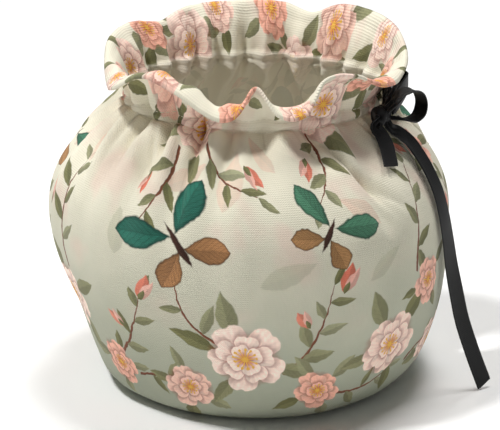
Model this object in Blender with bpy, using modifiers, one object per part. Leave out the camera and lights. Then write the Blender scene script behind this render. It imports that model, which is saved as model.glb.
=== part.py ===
"""A drawstring tea cosy: two cloth panels sewn at the sides into a round-bellied cover that stands on its
turned hem, gathered at the neck under a wide ruffled collar, with a slit left open in each side seam, and a
flat ribbon that leaves the neck above the right-hand slit and is tied there in a bow.

Metres, +Z up. The origin lies on the surface that the cosy stands on, under the middle of its belly.
Azimuths are degrees round +Z: 0 is the right side (+X), 90 the back, 180 the left side, 270 the front.
"""

import math
from collections import namedtuple

import bmesh
import bpy
from mathutils import Vector

MM = 0.001

# Driving dimensions
CLOTH_THICKNESS = 2.4 * MM
SEAM_GAP = 0.45 * MM
RIBBON_WIDTH = 9.0 * MM
RIBBON_THICKNESS = 1.0 * MM
KNOT_SIZE = (7.5 * MM, 10.5 * MM, 11.0 * MM)
KNOT_WAIST = 0.86

# Gathers: how many there are round the neck, how far from a side seam they start, and how rounded the
# bottoms of their creases are, from 0 for sharp to 0.5 for a plain wave
GATHERS = 24
SEAM_CALM_DEG = 9.0
CREASE_ROUNDING = 0.06

# Mesh density
FRONT_COLUMNS = 64
BACK_COLUMNS = 50
COLLAR_ROWS = 7
RIBBON_STEP = 4.0 * MM

# The wall from the hem up to the top of the drawstring's channel. Millimetres and degrees: the middle of
# the cloth lies at radius and height, about a centre moved along X by shift; gather is how far the gathers
# rise and fall; each side seam has its azimuth and half the width of the slit left open in it.
Station = namedtuple("Station", "name radius height shift gather right_seam right_slit left_seam left_slit")
WALL = [
    Station("hem edge", 62.5, 1.2, 3.5, 0.0, 2, 0.0, 176, 0.0),
    Station("hem middle", 67.0, 1.2, 3.5, 0.0, 2, 0.0, 176, 0.0),
    Station("hem fold", 71.5, 1.2, 3.6, 0.0, 2, 0.0, 176, 0.0),
    Station("foot turn", 79.0, 3.2, 3.8, 0.0, 2, 0.0, 176, 0.0),
    Station("foot", 85.0, 9.0, 4.2, 0.0, 2, 0.0, 176, 0.0),
    Station("foot top", 89.5, 18.0, 5.0, 0.0, 3, 0.0, 175, 0.0),
    Station("low wall", 93.8, 31.0, 5.4, 0.0, 4, 0.0, 174, 0.0),
    Station("slit foot", 97.6, 45.0, 5.0, 0.0, 6, 3.5, 172, 0.0),
    Station("waist", 101.2, 59.0, 3.2, 0.1, 8, 7.5, 170, 4.0),
    Station("belly low", 104.0, 73.5, 1.2, 0.2, 9, 9.0, 169, 10.0),
    Station("belly", 105.5, 88.5, 0.0, 0.3, 10, 9.5, 169, 13.0),
    Station("belly top", 104.3, 103.0, 0.0, 0.6, 10, 9.0, 169, 11.0),
    Station("shoulder low", 99.3, 116.5, 0.0, 1.1, 9, 7.5, 170, 4.0),
    Station("shoulder", 90.6, 129.0, 0.4, 1.7, 5, 6.0, 172, 0.0),
    Station("shoulder top", 80.8, 139.5, 1.2, 2.3, -1, 5.0, 174, 0.0),
    Station("neck low", 71.8, 146.8, 1.8, 2.7, -6, 4.5, 176, 0.0),
    Station("channel low", 67.2, 151.5, 2.2, 2.6, -8, 4.2, 177, 0.0),
    Station("channel top", 66.5, 157.0, 2.4, 2.4, -8, 2.4, 178, 0.0),
]

# The collar's seams run on from the channel's to these azimuths at its rim, about a centre moved by this
# much, and the slits close within this many of the collar's rows
RIM_RIGHT_SEAM = -4
RIM_LEFT_SEAM = 180
RIM_SHIFT = 3.0
SLIT_CLOSING_ROWS = 3

# The back panel's edges stand further from the middle of a slit than the front panel's, by this factor
BACK_SLIT_FACTOR = 1.3

# The collar rises from the channel towards the lean point and bends from there out to its rim.
# Millimetres and degrees, a row for each fold or hollow of its ruffle, in order of azimuth.
Ruffle = namedtuple("Ruffle", "azimuth lean_radius lean_height rim_radius rim_height")
COLLAR = [
    Ruffle(2, 71, 171, 78.5, 176),
    Ruffle(20, 70, 173, 80, 181.5),
    Ruffle(38, 70, 174, 82, 184.5),
    Ruffle(54, 69, 174, 80, 185.5),
    Ruffle(66, 68, 172, 77, 180),
    Ruffle(78, 68, 175, 79.5, 184),
    Ruffle(98, 68, 176, 80, 184),
    Ruffle(112, 68, 176, 80, 184),
    Ruffle(124, 68, 174, 78, 181.5),
    Ruffle(132, 68, 171, 77, 178),
    Ruffle(146, 69, 173, 80, 180.5),
    Ruffle(162, 70, 174, 80, 178),
    Ruffle(180, 71, 175, 78, 171.5),
    Ruffle(198, 71, 178, 79.5, 164.5),
    Ruffle(212, 71, 181, 84, 167.5),
    Ruffle(228, 70, 186, 83, 178),
    Ruffle(242, 70, 184, 84, 173),
    Ruffle(256, 70, 172, 83, 161.5),
    Ruffle(263, 69, 172, 79, 162.5),
    Ruffle(270, 68, 170, 72, 175.5),
    Ruffle(278, 70, 171, 80, 163),
    Ruffle(288, 70, 171, 80.5, 163),
    Ruffle(296, 69, 174, 77, 177.5),
    Ruffle(308, 70, 177, 79, 178.5),
    Ruffle(320, 72, 178, 84, 171),
    Ruffle(338, 72, 176, 80, 171),
]

# Long creases pressed into the gathered cloth: from a point under the neck down to a point on the body.
# Degrees and millimetres. Each runs on past its ends by a share of its length, and fades in and out over
# shares of it.
CREASE_RUN_ON = 0.1
CREASE_TOP_FADE = 0.2
CREASE_FOOT_FADE = 0.5
Crease = namedtuple("Crease", "name top_azimuth top_height foot_azimuth foot_height depth half_width")
CREASES = [
    Crease("left fold", 221, 156, 235, 126, 2.6, 4.0),
    Crease("left pleat", 233, 156, 240, 128, 2.2, 3.4),
    Crease("front pleat", 246, 156, 254, 126, 2.8, 3.4),
    Crease("front dip", 266, 156, 269, 138, 1.4, 6.0),
    Crease("right sweep", 293, 152, 320, 110, 3.0, 3.8),
    Crease("right trough", 306, 132, 314, 98, 2.2, 6.0),
]

# What makes the gathers uneven: slow waves, by how many go round the neck, that shift them to and fro.
# Radians.
Drift = namedtuple("Drift", "waves shift start")
GATHER_DRIFT = [
    Drift(3, 1.1, 0.6),
    Drift(5, 0.9, 2.2),
]

# How strongly the cloth is gathered round the neck, by azimuth
Gather = namedtuple("Gather", "azimuth strength")
GATHER_STRENGTH = [
    Gather(0, 0.5),
    Gather(25, 1.0),
    Gather(95, 1.1),
    Gather(155, 1.0),
    Gather(182, 0.6),
    Gather(205, 0.9),
    Gather(225, 1.1),
    Gather(250, 0.9),
    Gather(268, 0.5),
    Gather(290, 0.5),
    Gather(306, 0.8),
    Gather(320, 0.5),
    Gather(334, 0.3),
]

# The ribbon's stretches, each from the knot outwards. Millimetres and degrees: the middle line, and the
# azimuth and elevation that the ribbon's face looks towards there.
RibbonPoint = namedtuple("RibbonPoint", "x y z facing tilt")
TAIL_LONG = [
    RibbonPoint(71.4, -43.6, 146.0, -55, 40),
    RibbonPoint(75.8, -41.8, 143.4, -50, 48),
    RibbonPoint(81.4, -39.6, 138.4, -42, 45),
    RibbonPoint(87.0, -40.4, 130.8, -38, 38),
    RibbonPoint(91.9, -42.0, 122.6, -36, 30),
    RibbonPoint(96.4, -43.5, 112.6, -36, 18),
    RibbonPoint(100.0, -43.6, 99.3, -36, 5),
    RibbonPoint(102.6, -41.0, 85.8, -38, -4),
    RibbonPoint(105.0, -38.2, 71.0, -44, -8),
    RibbonPoint(107.8, -36.6, 57.0, -50, -6),
    RibbonPoint(111.7, -36.0, 39.6, -54, 4),
    RibbonPoint(118.0, -36.0, 21.0, -56, 10),
    RibbonPoint(125.4, -36.2, 1.9, -58, 12),
]
TAIL_SHORT = [
    RibbonPoint(62.8, -50.4, 149.1, -52, 10),
    RibbonPoint(65.2, -51.6, 146.2, -50, 32),
    RibbonPoint(67.6, -53.6, 142.4, -48, 42),
    RibbonPoint(69.2, -57.8, 137.4, -46, 40),
    RibbonPoint(70.5, -62.6, 131.8, -45, 38),
]
LOOP_LOWER = [
    RibbonPoint(73.6, -42.6, 159.8, 37, 150),
    RibbonPoint(76.8, -36.9, 162.3, 37, 120),
    RibbonPoint(81.6, -30.8, 163.0, 37, 88),
    RibbonPoint(86.2, -25.0, 160.0, 37, 45),
    RibbonPoint(88.4, -22.0, 153.8, 37, 0),
    RibbonPoint(87.0, -24.0, 148.3, 37, -50),
    RibbonPoint(82.4, -29.9, 146.8, 37, -95),
    RibbonPoint(77.9, -38.0, 149.8, 37, -125),
]
LOOP_UPPER = [
    RibbonPoint(70.1, -37.2, 154.6, 155, -12),
    RibbonPoint(74.4, -22.0, 157.2, 155, -10),
    RibbonPoint(75.7, -11.5, 159.5, 152, -4),
    RibbonPoint(77.8, -1.6, 160.4, 120, 0),
    RibbonPoint(80.6, 2.4, 160.0, 65, 0),
    RibbonPoint(82.8, -1.0, 159.6, 5, 0),
    RibbonPoint(80.9, -10.0, 158.8, -20, 6),
    RibbonPoint(76.8, -22.0, 156.8, -24, 10),
    RibbonPoint(71.4, -37.6, 154.2, -28, 12),
]
DRAW_FRONT = [
    RibbonPoint(69.3, -10.3, 154.7, -90, 0),
    RibbonPoint(71.0, -9.3, 154.8, -20, 5),
    RibbonPoint(72.1, -11.6, 155.0, 5, 12),
    RibbonPoint(70.7, -20.0, 154.6, -14, 15),
    RibbonPoint(67.6, -35.6, 153.8, -28, 15),
]
DRAW_BACK = [
    RibbonPoint(71.4, -6.5, 154.6, 0, 0),
    RibbonPoint(73.9, -8.8, 154.8, 12, 8),
    RibbonPoint(73.7, -13.0, 154.9, -4, 12),
    RibbonPoint(72.2, -20.6, 154.8, -15, 15),
    RibbonPoint(68.8, -36.4, 154.0, -28, 15),
]
KNOT_PLACE = (66.6, -41.9, 152.8)
KNOT_FACING_DEG = -33.0

# Colours
CREAM_CLOTH = (0.86, 0.83, 0.70, 1.0)
SAGE_CLOTH = (0.80, 0.79, 0.68, 1.0)
BLACK_RIBBON = (0.010, 0.010, 0.012, 1.0)


def hermite(places, values, place, period=None):
    """The value at place on a smooth curve through values at rising places, round a period if given."""
    count = len(places)
    if period:
        place = (place - places[0]) % period + places[0]
    index = max(i for i in range(count) if places[i] <= place + 1e-12)
    if not period:
        index = min(index, count - 2)

    def point(i):
        if period:
            turns, i = divmod(i, count)
            return places[i] + turns * period, values[i]
        i = min(max(i, 0), count - 1)
        return places[i], values[i]

    (xa, ya), (xb, yb), (xc, yc), (xd, yd) = (point(index + k) for k in (-1, 0, 1, 2))
    span = xc - xb
    share = (place - xb) / span
    slope_b = (yc - ya) / (xc - xa) * span
    slope_c = (yd - yb) / (xd - xb) * span
    return (
        yb * (2 * share**3 - 3 * share**2 + 1)
        + slope_b * (share**3 - 2 * share**2 + share)
        + yc * (3 * share**2 - 2 * share**3)
        + slope_c * (share**3 - share**2)
    )


def smoothstep(share):
    """0 below 0, 1 above 1, and an even turn between them."""
    share = min(max(share, 0.0), 1.0)
    return share * share * (3 - 2 * share)


def collar_value(column, azimuth):
    """A column of the collar's table at an azimuth, in its own units."""
    places = [ruffle.azimuth for ruffle in COLLAR]
    return hermite(places, [getattr(ruffle, column) for ruffle in COLLAR], azimuth, period=360.0)


def gather_wave(azimuth):
    """The gathers' rise, from -1 in a crease to 1 on a ridge: broad ridges, narrow creases, all uneven."""
    turn = math.radians(azimuth)
    drift = sum(wave.shift * math.sin(wave.waves * turn + wave.start) for wave in GATHER_DRIFT)
    swing = math.cos(GATHERS * turn + drift)
    places = [gather.azimuth for gather in GATHER_STRENGTH]
    strength = hermite(places, [gather.strength for gather in GATHER_STRENGTH], azimuth, period=360.0)
    ridge = 2 * math.sqrt(0.5 + CREASE_ROUNDING + (0.5 - CREASE_ROUNDING) * swing) - 1
    return strength * (swing + ridge) / 2


def crease_depth(radius, height, azimuth):
    """How deep the long creases press the cloth in at a point, in millimetres."""
    depth = 0.0
    for crease in CREASES:
        along = (crease.top_height - height / MM) / (crease.top_height - crease.foot_height)
        if not -CREASE_RUN_ON < along < 1 + CREASE_RUN_ON:
            continue
        middle = crease.top_azimuth + along * (crease.foot_azimuth - crease.top_azimuth)
        aside = math.radians((azimuth - middle + 180) % 360 - 180) * radius / MM / crease.half_width
        fade = smoothstep((along + CREASE_RUN_ON) / CREASE_TOP_FADE)
        fade *= smoothstep((1 + CREASE_RUN_ON - along) / CREASE_FOOT_FADE)
        depth += crease.depth * fade * math.exp(-aside * aside)
    return depth


def collar_share(row):
    """How far up the collar a row lies, from 0 at the channel to 1 at the rim."""
    return (row - len(WALL) + 1) / COLLAR_ROWS


def station_at(row):
    """The wall's row, or one of the collar's, whose seams run on to the rim while its gathers fade."""
    if row < len(WALL):
        return WALL[row]
    top = WALL[-1]
    share = collar_share(row)
    still_open = max(0.0, 1 - share * COLLAR_ROWS / SLIT_CLOSING_ROWS)
    return top._replace(
        shift=top.shift + (RIM_SHIFT - top.shift) * share,
        gather=top.gather * (1 - share),
        right_seam=top.right_seam + (RIM_RIGHT_SEAM - top.right_seam) * share,
        right_slit=top.right_slit * still_open,
        left_seam=top.left_seam + (RIM_LEFT_SEAM - top.left_seam) * share,
        left_slit=top.left_slit * still_open,
    )


def meridian_point(row, azimuth):
    """(radius, height) of the cloth's middle in a row at an azimuth, before the gathers, in metres."""
    if row < len(WALL):
        return WALL[row].radius * MM, WALL[row].height * MM
    top = WALL[-1]
    share = collar_share(row)
    root = (top.radius, top.height)
    lean = (collar_value("lean_radius", azimuth), collar_value("lean_height", azimuth))
    rim = (collar_value("rim_radius", azimuth), collar_value("rim_height", azimuth))
    return tuple(
        MM * ((1 - share) ** 2 * a + 2 * share * (1 - share) * b + share**2 * c)
        for a, b, c in zip(root, lean, rim)
    )


def cloth_point(row, azimuth):
    """A point of the cloth's middle surface: the meridian, pushed out or in by the gathers."""
    last_row = len(WALL) + COLLAR_ROWS - 1
    radius, height = meridian_point(row, azimuth)
    below = Vector(meridian_point(max(row - 1, 0), azimuth))
    above = Vector(meridian_point(min(row + 1, last_row), azimuth))
    along = (above - below).normalized()
    station = station_at(row)
    seams = (station.right_seam, station.left_seam)
    from_seam = min(abs((azimuth - seam + 180) % 360 - 180) for seam in seams)
    rise = station.gather * gather_wave(azimuth) - crease_depth(radius, height, azimuth)
    rise *= MM * smoothstep(from_seam / SEAM_CALM_DEG)
    radius += along.y * rise
    height -= along.x * rise
    turn = math.radians(azimuth)
    return Vector((station.shift * MM + radius * math.cos(turn), radius * math.sin(turn), height))


def panel_edges(row, front):
    """The azimuths between which a panel's row runs: from one seam or slit edge to the next."""
    station = station_at(row)
    right = (station.right_seam, station.right_slit)
    left = (station.left_seam, station.left_slit)
    ends = []
    for (seam, slit), way in zip((left, right) if front else (right, left), (1, -1)):
        radius = meridian_point(row, seam)[0]
        half_gap = max(slit * MM * (1 if front else BACK_SLIT_FACTOR), SEAM_GAP / 2)
        full_turn = 360 if front and way == -1 else 0
        ends.append(seam + full_turn + way * math.degrees(half_gap / radius))
    return ends


def new_object(name, mesh, material, collection):
    """Wraps a mesh as an object of the cosy, shaded smooth."""
    mesh.materials.append(material)
    mesh.shade_smooth()
    made = bpy.data.objects.new(name, mesh)
    collection.objects.link(made)
    return made


def solidify(made, thickness):
    """Gives an open surface its thickness, half to each side."""
    shell = made.modifiers.new("cloth thickness", "SOLIDIFY")
    shell.thickness = thickness
    shell.offset = 0.0


def grid_mesh(name, columns, rows, place):
    """A grid of faces whose points are put where place(column share, row) says."""
    work = bmesh.new()
    bmesh.ops.create_grid(work, x_segments=columns, y_segments=rows, size=1.0)
    for vert in work.verts:
        share = (vert.co.x + 1) / 2
        row = round((vert.co.y + 1) / 2 * rows)
        vert.co = place(share, row)
    mesh = bpy.data.meshes.new(name)
    work.to_mesh(mesh)
    work.free()
    return mesh


def make_panel(name, columns, front, material, collection):
    """One cloth panel, from its hem to the collar's rim and from seam to seam."""
    last_row = len(WALL) + COLLAR_ROWS - 1

    def place(share, row):
        start, end = panel_edges(row, front)
        return cloth_point(row, start + (end - start) * share)

    made = new_object(name, grid_mesh(name, columns, last_row, place), material, collection)
    solidify(made, CLOTH_THICKNESS)
    return made


def ribbon_line(points):
    """The ribbon's middle line and face direction, read every few millimetres from a smooth curve."""
    spots = [Vector((p.x, p.y, p.z)) * MM for p in points]
    along = [0.0]
    for a, b in zip(spots, spots[1:]):
        along.append(along[-1] + (b - a).length)
    steps = max(2, round(along[-1] / RIBBON_STEP))

    def read(values, place):
        return hermite(along, values, place)

    line = []
    for step in range(steps + 1):
        place = along[-1] * step / steps
        centre = Vector([read([spot[axis] for spot in spots], place) for axis in range(3)])
        facing = math.radians(read([p.facing for p in points], place))
        tilt = math.radians(read([p.tilt for p in points], place))
        face = Vector(
            (math.cos(facing) * math.cos(tilt), math.sin(facing) * math.cos(tilt), math.sin(tilt))
        )
        line.append((centre, face))
    return line


def make_ribbon(name, points, material, collection):
    """A flat stretch of ribbon along its middle line, turned to its face direction."""
    line = ribbon_line(points)
    last = len(line) - 1

    def place(share, row):
        centre, face = line[row]
        tangent = (line[min(row + 1, last)][0] - line[max(row - 1, 0)][0]).normalized()
        across = tangent.cross(face).normalized()
        return centre + across * RIBBON_WIDTH * (share - 0.5)

    made = new_object(name, grid_mesh(name, 1, last, place), material, collection)
    solidify(made, RIBBON_THICKNESS)
    return made


def make_knot(material, collection):
    """The knot: a soft block, drawn in at the waist where the ribbon wraps it."""
    work = bmesh.new()
    bmesh.ops.create_cube(work, size=1.0)
    bmesh.ops.subdivide_edges(work, edges=work.edges[:], cuts=1, use_grid_fill=True)
    for vert in work.verts:
        waist = KNOT_WAIST if vert.co.z == 0.0 else 1.0
        vert.co = Vector(
            (vert.co.x * KNOT_SIZE[0], vert.co.y * KNOT_SIZE[1] * waist, vert.co.z * KNOT_SIZE[2])
        )
    mesh = bpy.data.meshes.new("ribbon_knot")
    work.to_mesh(mesh)
    work.free()
    made = new_object("ribbon_knot", mesh, material, collection)
    soft = made.modifiers.new("soft", "SUBSURF")
    soft.levels = soft.render_levels = 1
    made.location = [value * MM for value in KNOT_PLACE]
    made.rotation_euler = (0, 0, math.radians(KNOT_FACING_DEG))
    return made


def cloth_material(name, colour, roughness, sheen):
    material = bpy.data.materials.new(name)
    material.use_nodes = True
    shader = material.node_tree.nodes["Principled BSDF"]
    shader.inputs["Base Color"].default_value = colour
    shader.inputs["Roughness"].default_value = roughness
    shader.inputs["Metallic"].default_value = 0.0
    shader.inputs["Sheen Weight"].default_value = sheen
    return material


def main():
    for old in list(bpy.data.objects):
        bpy.data.objects.remove(old)
    collection = bpy.data.collections.new("tea_cosy")
    bpy.context.scene.collection.children.link(collection)

    front_cloth = cloth_material("front cloth", CREAM_CLOTH, 0.85, 0.2)
    back_cloth = cloth_material("back cloth", SAGE_CLOTH, 0.85, 0.2)
    make_panel("front_panel", FRONT_COLUMNS, True, front_cloth, collection)
    make_panel("back_panel", BACK_COLUMNS, False, back_cloth, collection)

    stretches = {
        "ribbon_tail_long": TAIL_LONG,
        "ribbon_tail_short": TAIL_SHORT,
        "ribbon_loop_lower": LOOP_LOWER,
        "ribbon_loop_upper": LOOP_UPPER,
        "ribbon_draw_front": DRAW_FRONT,
        "ribbon_draw_back": DRAW_BACK,
    }
    for name, points in stretches.items():
        make_ribbon(name, points, cloth_material(name, BLACK_RIBBON, 0.45, 0.1), collection)
    make_knot(cloth_material("knot ribbon", BLACK_RIBBON, 0.45, 0.1), collection)


main()
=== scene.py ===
"""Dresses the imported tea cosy: its printed cloth with gathers, hems and stitches, and its ribbon bow.

Metres, +Z up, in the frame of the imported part. Azimuths are degrees round +Z: 0 is the right side (+X),
90 the back, 180 the left side, 270 the front.
"""

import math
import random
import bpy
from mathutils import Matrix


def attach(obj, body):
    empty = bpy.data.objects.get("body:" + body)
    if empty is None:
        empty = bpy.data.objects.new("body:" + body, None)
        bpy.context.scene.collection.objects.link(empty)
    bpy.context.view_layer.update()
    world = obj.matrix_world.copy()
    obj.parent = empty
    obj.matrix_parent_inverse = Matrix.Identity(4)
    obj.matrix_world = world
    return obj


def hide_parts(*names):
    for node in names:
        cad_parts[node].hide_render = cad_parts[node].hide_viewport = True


bl_info = {
    "name": "Tea Cosy Looks",
    "version": (1, 0, 0),
    "blender": (4, 5, 0),
    "location": "3D View > Sidebar > Tea Cosy",
    "description": "Cloth panels, ribbon bow and stitching for a drawstring tea cosy",
    "category": "Object",
}

from collections import namedtuple
from functools import partial
from types import SimpleNamespace

import bpy
import numpy as np
from mathutils import Vector

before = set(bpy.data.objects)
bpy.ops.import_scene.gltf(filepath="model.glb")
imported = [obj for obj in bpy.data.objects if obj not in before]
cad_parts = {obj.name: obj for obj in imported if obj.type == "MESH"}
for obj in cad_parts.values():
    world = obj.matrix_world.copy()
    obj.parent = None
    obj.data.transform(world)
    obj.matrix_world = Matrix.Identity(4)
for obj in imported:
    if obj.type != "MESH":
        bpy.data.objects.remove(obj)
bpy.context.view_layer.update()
BODY = "root"
MM = 0.001

# The cloth's wall and collar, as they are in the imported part. Millimetres and degrees: the middle of the
# cloth lies at radius and height, about a centre moved along X by shift; gather is how far the gathers
# rise and fall; each side seam has its azimuth and half the width of the slit left open in it.
Station = namedtuple("Station", "name radius height shift gather right_seam right_slit left_seam left_slit")
WALL = [
    Station("hem edge", 62.5, 1.2, 3.5, 0.0, 2, 0.0, 176, 0.0),
    Station("hem middle", 67.0, 1.2, 3.5, 0.0, 2, 0.0, 176, 0.0),
    Station("hem fold", 71.5, 1.2, 3.6, 0.0, 2, 0.0, 176, 0.0),
    Station("foot turn", 79.0, 3.2, 3.8, 0.0, 2, 0.0, 176, 0.0),
    Station("foot", 85.0, 9.0, 4.2, 0.0, 2, 0.0, 176, 0.0),
    Station("foot top", 89.5, 18.0, 5.0, 0.0, 3, 0.0, 175, 0.0),
    Station("low wall", 93.8, 31.0, 5.4, 0.0, 4, 0.0, 174, 0.0),
    Station("slit foot", 97.6, 45.0, 5.0, 0.0, 6, 3.5, 172, 0.0),
    Station("waist", 101.2, 59.0, 3.2, 0.1, 8, 7.5, 170, 4.0),
    Station("belly low", 104.0, 73.5, 1.2, 0.2, 9, 9.0, 169, 10.0),
    Station("belly", 105.5, 88.5, 0.0, 0.3, 10, 9.5, 169, 13.0),
    Station("belly top", 104.3, 103.0, 0.0, 0.6, 10, 9.0, 169, 11.0),
    Station("shoulder low", 99.3, 116.5, 0.0, 1.1, 9, 7.5, 170, 4.0),
    Station("shoulder", 90.6, 129.0, 0.4, 1.7, 5, 6.0, 172, 0.0),
    Station("shoulder top", 80.8, 139.5, 1.2, 2.3, -1, 5.0, 174, 0.0),
    Station("neck low", 71.8, 146.8, 1.8, 2.7, -6, 4.5, 176, 0.0),
    Station("channel low", 67.2, 151.5, 2.2, 2.6, -8, 4.2, 177, 0.0),
    Station("channel top", 66.5, 157.0, 2.4, 2.4, -8, 2.4, 178, 0.0),
]
CHANNEL_LOW_ROW = 16
CHANNEL_TOP_ROW = 17
COLLAR_ROWS = 7
LAST_ROW = CHANNEL_TOP_ROW + COLLAR_ROWS
RIM = Station("rim", 80.0, 176.0, 3.0, 0.0, -4, 0.0, 180, 0.0)
SLIT_CLOSING_ROWS = 3
BACK_SLIT_FACTOR = 1.3
SEAM_GAP = 0.45

# The collar rises from the channel towards the lean point and bends from there out to its rim
Ruffle = namedtuple("Ruffle", "azimuth lean_radius lean_height rim_radius rim_height")
COLLAR = [
    Ruffle(2, 71, 171, 78.5, 176),
    Ruffle(20, 70, 173, 80, 181.5),
    Ruffle(38, 70, 174, 82, 184.5),
    Ruffle(54, 69, 174, 80, 185.5),
    Ruffle(66, 68, 172, 77, 180),
    Ruffle(78, 68, 175, 79.5, 184),
    Ruffle(98, 68, 176, 80, 184),
    Ruffle(112, 68, 176, 80, 184),
    Ruffle(124, 68, 174, 78, 181.5),
    Ruffle(132, 68, 171, 77, 178),
    Ruffle(146, 69, 173, 80, 180.5),
    Ruffle(162, 70, 174, 80, 178),
    Ruffle(180, 71, 175, 78, 171.5),
    Ruffle(198, 71, 178, 79.5, 164.5),
    Ruffle(212, 71, 181, 84, 167.5),
    Ruffle(228, 70, 186, 83, 178),
    Ruffle(242, 70, 184, 84, 173),
    Ruffle(256, 70, 172, 83, 161.5),
    Ruffle(263, 69, 172, 79, 162.5),
    Ruffle(270, 68, 170, 72, 175.5),
    Ruffle(278, 70, 171, 80, 163),
    Ruffle(288, 70, 171, 80.5, 163),
    Ruffle(296, 69, 174, 77, 177.5),
    Ruffle(308, 70, 177, 79, 178.5),
    Ruffle(320, 72, 178, 84, 171),
    Ruffle(338, 72, 176, 80, 171),
]

# Gathers round the neck: how many, how rounded their creases are, and what makes them uneven
GATHERS = 24
CREASE_ROUNDING = 0.03
SEAM_CALM_DEG = 9.0
Drift = namedtuple("Drift", "waves shift start")
GATHER_DRIFT = [
    Drift(3, 1.1, 0.6),
    Drift(5, 0.9, 2.2),
]
Gather = namedtuple("Gather", "azimuth strength")
GATHER_STRENGTH = [
    Gather(0, 0.5),
    Gather(25, 1.0),
    Gather(95, 1.1),
    Gather(155, 1.0),
    Gather(182, 0.6),
    Gather(205, 0.9),
    Gather(225, 1.1),
    Gather(250, 0.9),
    Gather(268, 0.5),
    Gather(290, 0.5),
    Gather(306, 0.8),
    Gather(320, 0.5),
    Gather(334, 0.3),
]

# Creases from a point under the neck down to a point on the body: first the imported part's long ones, then
# finer ones that only the cloth's surface has. Degrees and millimetres.
Crease = namedtuple("Crease", "name top_azimuth top_height foot_azimuth foot_height depth half_width")
CREASES = [
    Crease("left fold", 221, 156, 235, 126, 2.6, 4.0),
    Crease("left pleat", 233, 156, 240, 128, 2.2, 3.4),
    Crease("front pleat", 246, 156, 254, 126, 2.8, 3.4),
    Crease("front dip", 266, 156, 269, 138, 1.4, 6.0),
    Crease("right sweep", 293, 152, 320, 110, 3.0, 3.8),
    Crease("right trough", 306, 132, 314, 98, 2.2, 6.0),
    Crease("far left line", 205, 152, 212, 112, 1.7, 2.2),
    Crease("far left tuck", 214, 152, 222, 128, 1.3, 1.6),
    Crease("left fold line", 226, 153, 236, 128, 1.5, 1.6),
    Crease("pleat shadow", 247, 154, 251, 110, 1.9, 1.7),
    Crease("pleat mate", 240, 153, 245, 128, 1.4, 1.6),
    Crease("middle line", 257, 154, 261, 136, 1.1, 1.6),
    Crease("dip line", 273, 154, 277, 139, 0.9, 1.8),
    Crease("sweep line", 297, 150, 318, 106, 1.6, 1.8),
    Crease("upper sweep", 286, 153, 299, 132, 1.4, 1.8),
    Crease("bow line", 318, 152, 324, 130, 1.3, 1.6),
    Crease("bow tuck", 327, 150, 331, 130, 1.0, 1.8),
    Crease("back right line", 28, 153, 24, 128, 1.3, 1.8),
    Crease("back right tuck", 47, 153, 50, 134, 1.1, 1.5),
    Crease("back middle line", 84, 154, 81, 124, 1.4, 1.9),
    Crease("back tuck", 104, 153, 108, 136, 1.0, 1.5),
    Crease("back left line", 131, 153, 136, 126, 1.3, 1.8),
    Crease("back left tuck", 154, 153, 151, 136, 1.0, 1.6),
]
CREASE_RUN_ON = 0.1
CREASE_TOP_FADE = 0.2
CREASE_FOOT_FADE = 0.5

# Small pleats that puff out beside each sewn line: the line's row, how many pleats go round, how far they
# rise, and how far they reach below and above the line. They begin a little off it, sway, slant with the
# distance from it, and are uneven. The line itself pinches the cloth. Millimetres.
Pucker = namedtuple("Pucker", "row waves rise below above")
PUCKERS = [
    Pucker(CHANNEL_LOW_ROW, 38, 4.6, 18.0, 1.6),
    Pucker(CHANNEL_TOP_ROW, 49, 2.2, 1.6, 11.0),
]
PUCKER_START = 1.5
PUCKER_START_SHARE = 0.8
PUCKER_DRIFT = [
    Drift(7, 1.1, 1),
    Drift(12, 0.8, 2),
]
PUCKER_SLANT = 0.05
PUCKER_UNEVEN = 0.25
PATCHES = 9
PATCH_START = 1.3
BROAD_PATCHES = 4
PLEAT_ROUNDING = 0.005
PLEAT_SINK = 0.9
PINCH_DEPTH = 1.5
PINCH_WIDTH = 1.3

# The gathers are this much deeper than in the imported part, which rounds them
GATHER_FACTOR = 1.5

# Slow unevenness of the whole cloth: waves round it, waves up it, and the rise in millimetres
Swell = namedtuple("Swell", "around up rise start")
SWELLS = [
    Swell(5, 1.3, 0.45, 0.4),
    Swell(9, -1.8, 0.30, 1.9),
    Swell(14, 2.6, 0.16, 3.1),
    Swell(21, -3.4, 0.10, 0.8),
]

# The crumpled cloth beside the right-hand slit, where the drawn channel ends: how far it rises and
# reaches, between which distances up the cloth, and the directions, pitches and shares of its folds.
# Millimetres and radians.
CRUMPLE_RISE = 2.0
CRUMPLE_REACH = 22.0
CRUMPLE_LOW = 168.0
CRUMPLE_HIGH = 197.0
CRUMPLE_FADE = 6.0
CRUMPLE_WAVER = 1.6
CRUMPLE_WAVER_OUT = 0.45
CRUMPLE_WAVER_UP = 0.3
Fold = namedtuple("Fold", "turn pitch share")
CRUMPLE_FOLDS = [
    Fold(0.5, 6.5, 0.5),
    Fold(-0.9, 4.6, 0.3),
    Fold(1.9, 8.5, 0.4),
]

# The cloth's grid, and how thick it is by row: more in the base's hem, the channel and the rim's hem. Its
# side hems add to that. The base's hem lies flat up to a row. The cloth's slope is read over part of a row,
# and its length at many rows and azimuths. Millimetres.
PANEL_COLUMNS = 286
PANEL_ROWS = 160
Thickness = namedtuple("Thickness", "row thickness")
THICKNESS = [
    Thickness(0.0, 2.1),
    Thickness(2.2, 2.1),
    Thickness(3.0, 1.1),
    Thickness(CHANNEL_LOW_ROW - 0.4, 1.1),
    Thickness(CHANNEL_LOW_ROW, 1.6),
    Thickness(CHANNEL_TOP_ROW, 1.6),
    Thickness(CHANNEL_TOP_ROW + 0.6, 1.0),
    Thickness(LAST_ROW - 1.6, 1.0),
    Thickness(LAST_ROW - 1.2, 1.9),
    Thickness(LAST_ROW, 1.9),
]
SIDE_HEM = 6.0
SIDE_HEM_EXTRA = 0.5
SIDE_HEM_EDGE = 1.5
HEM_FLAT_ROW = 2.5
HEM_FADE_ROWS = 2
SLOPE_STEP = 0.15
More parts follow.
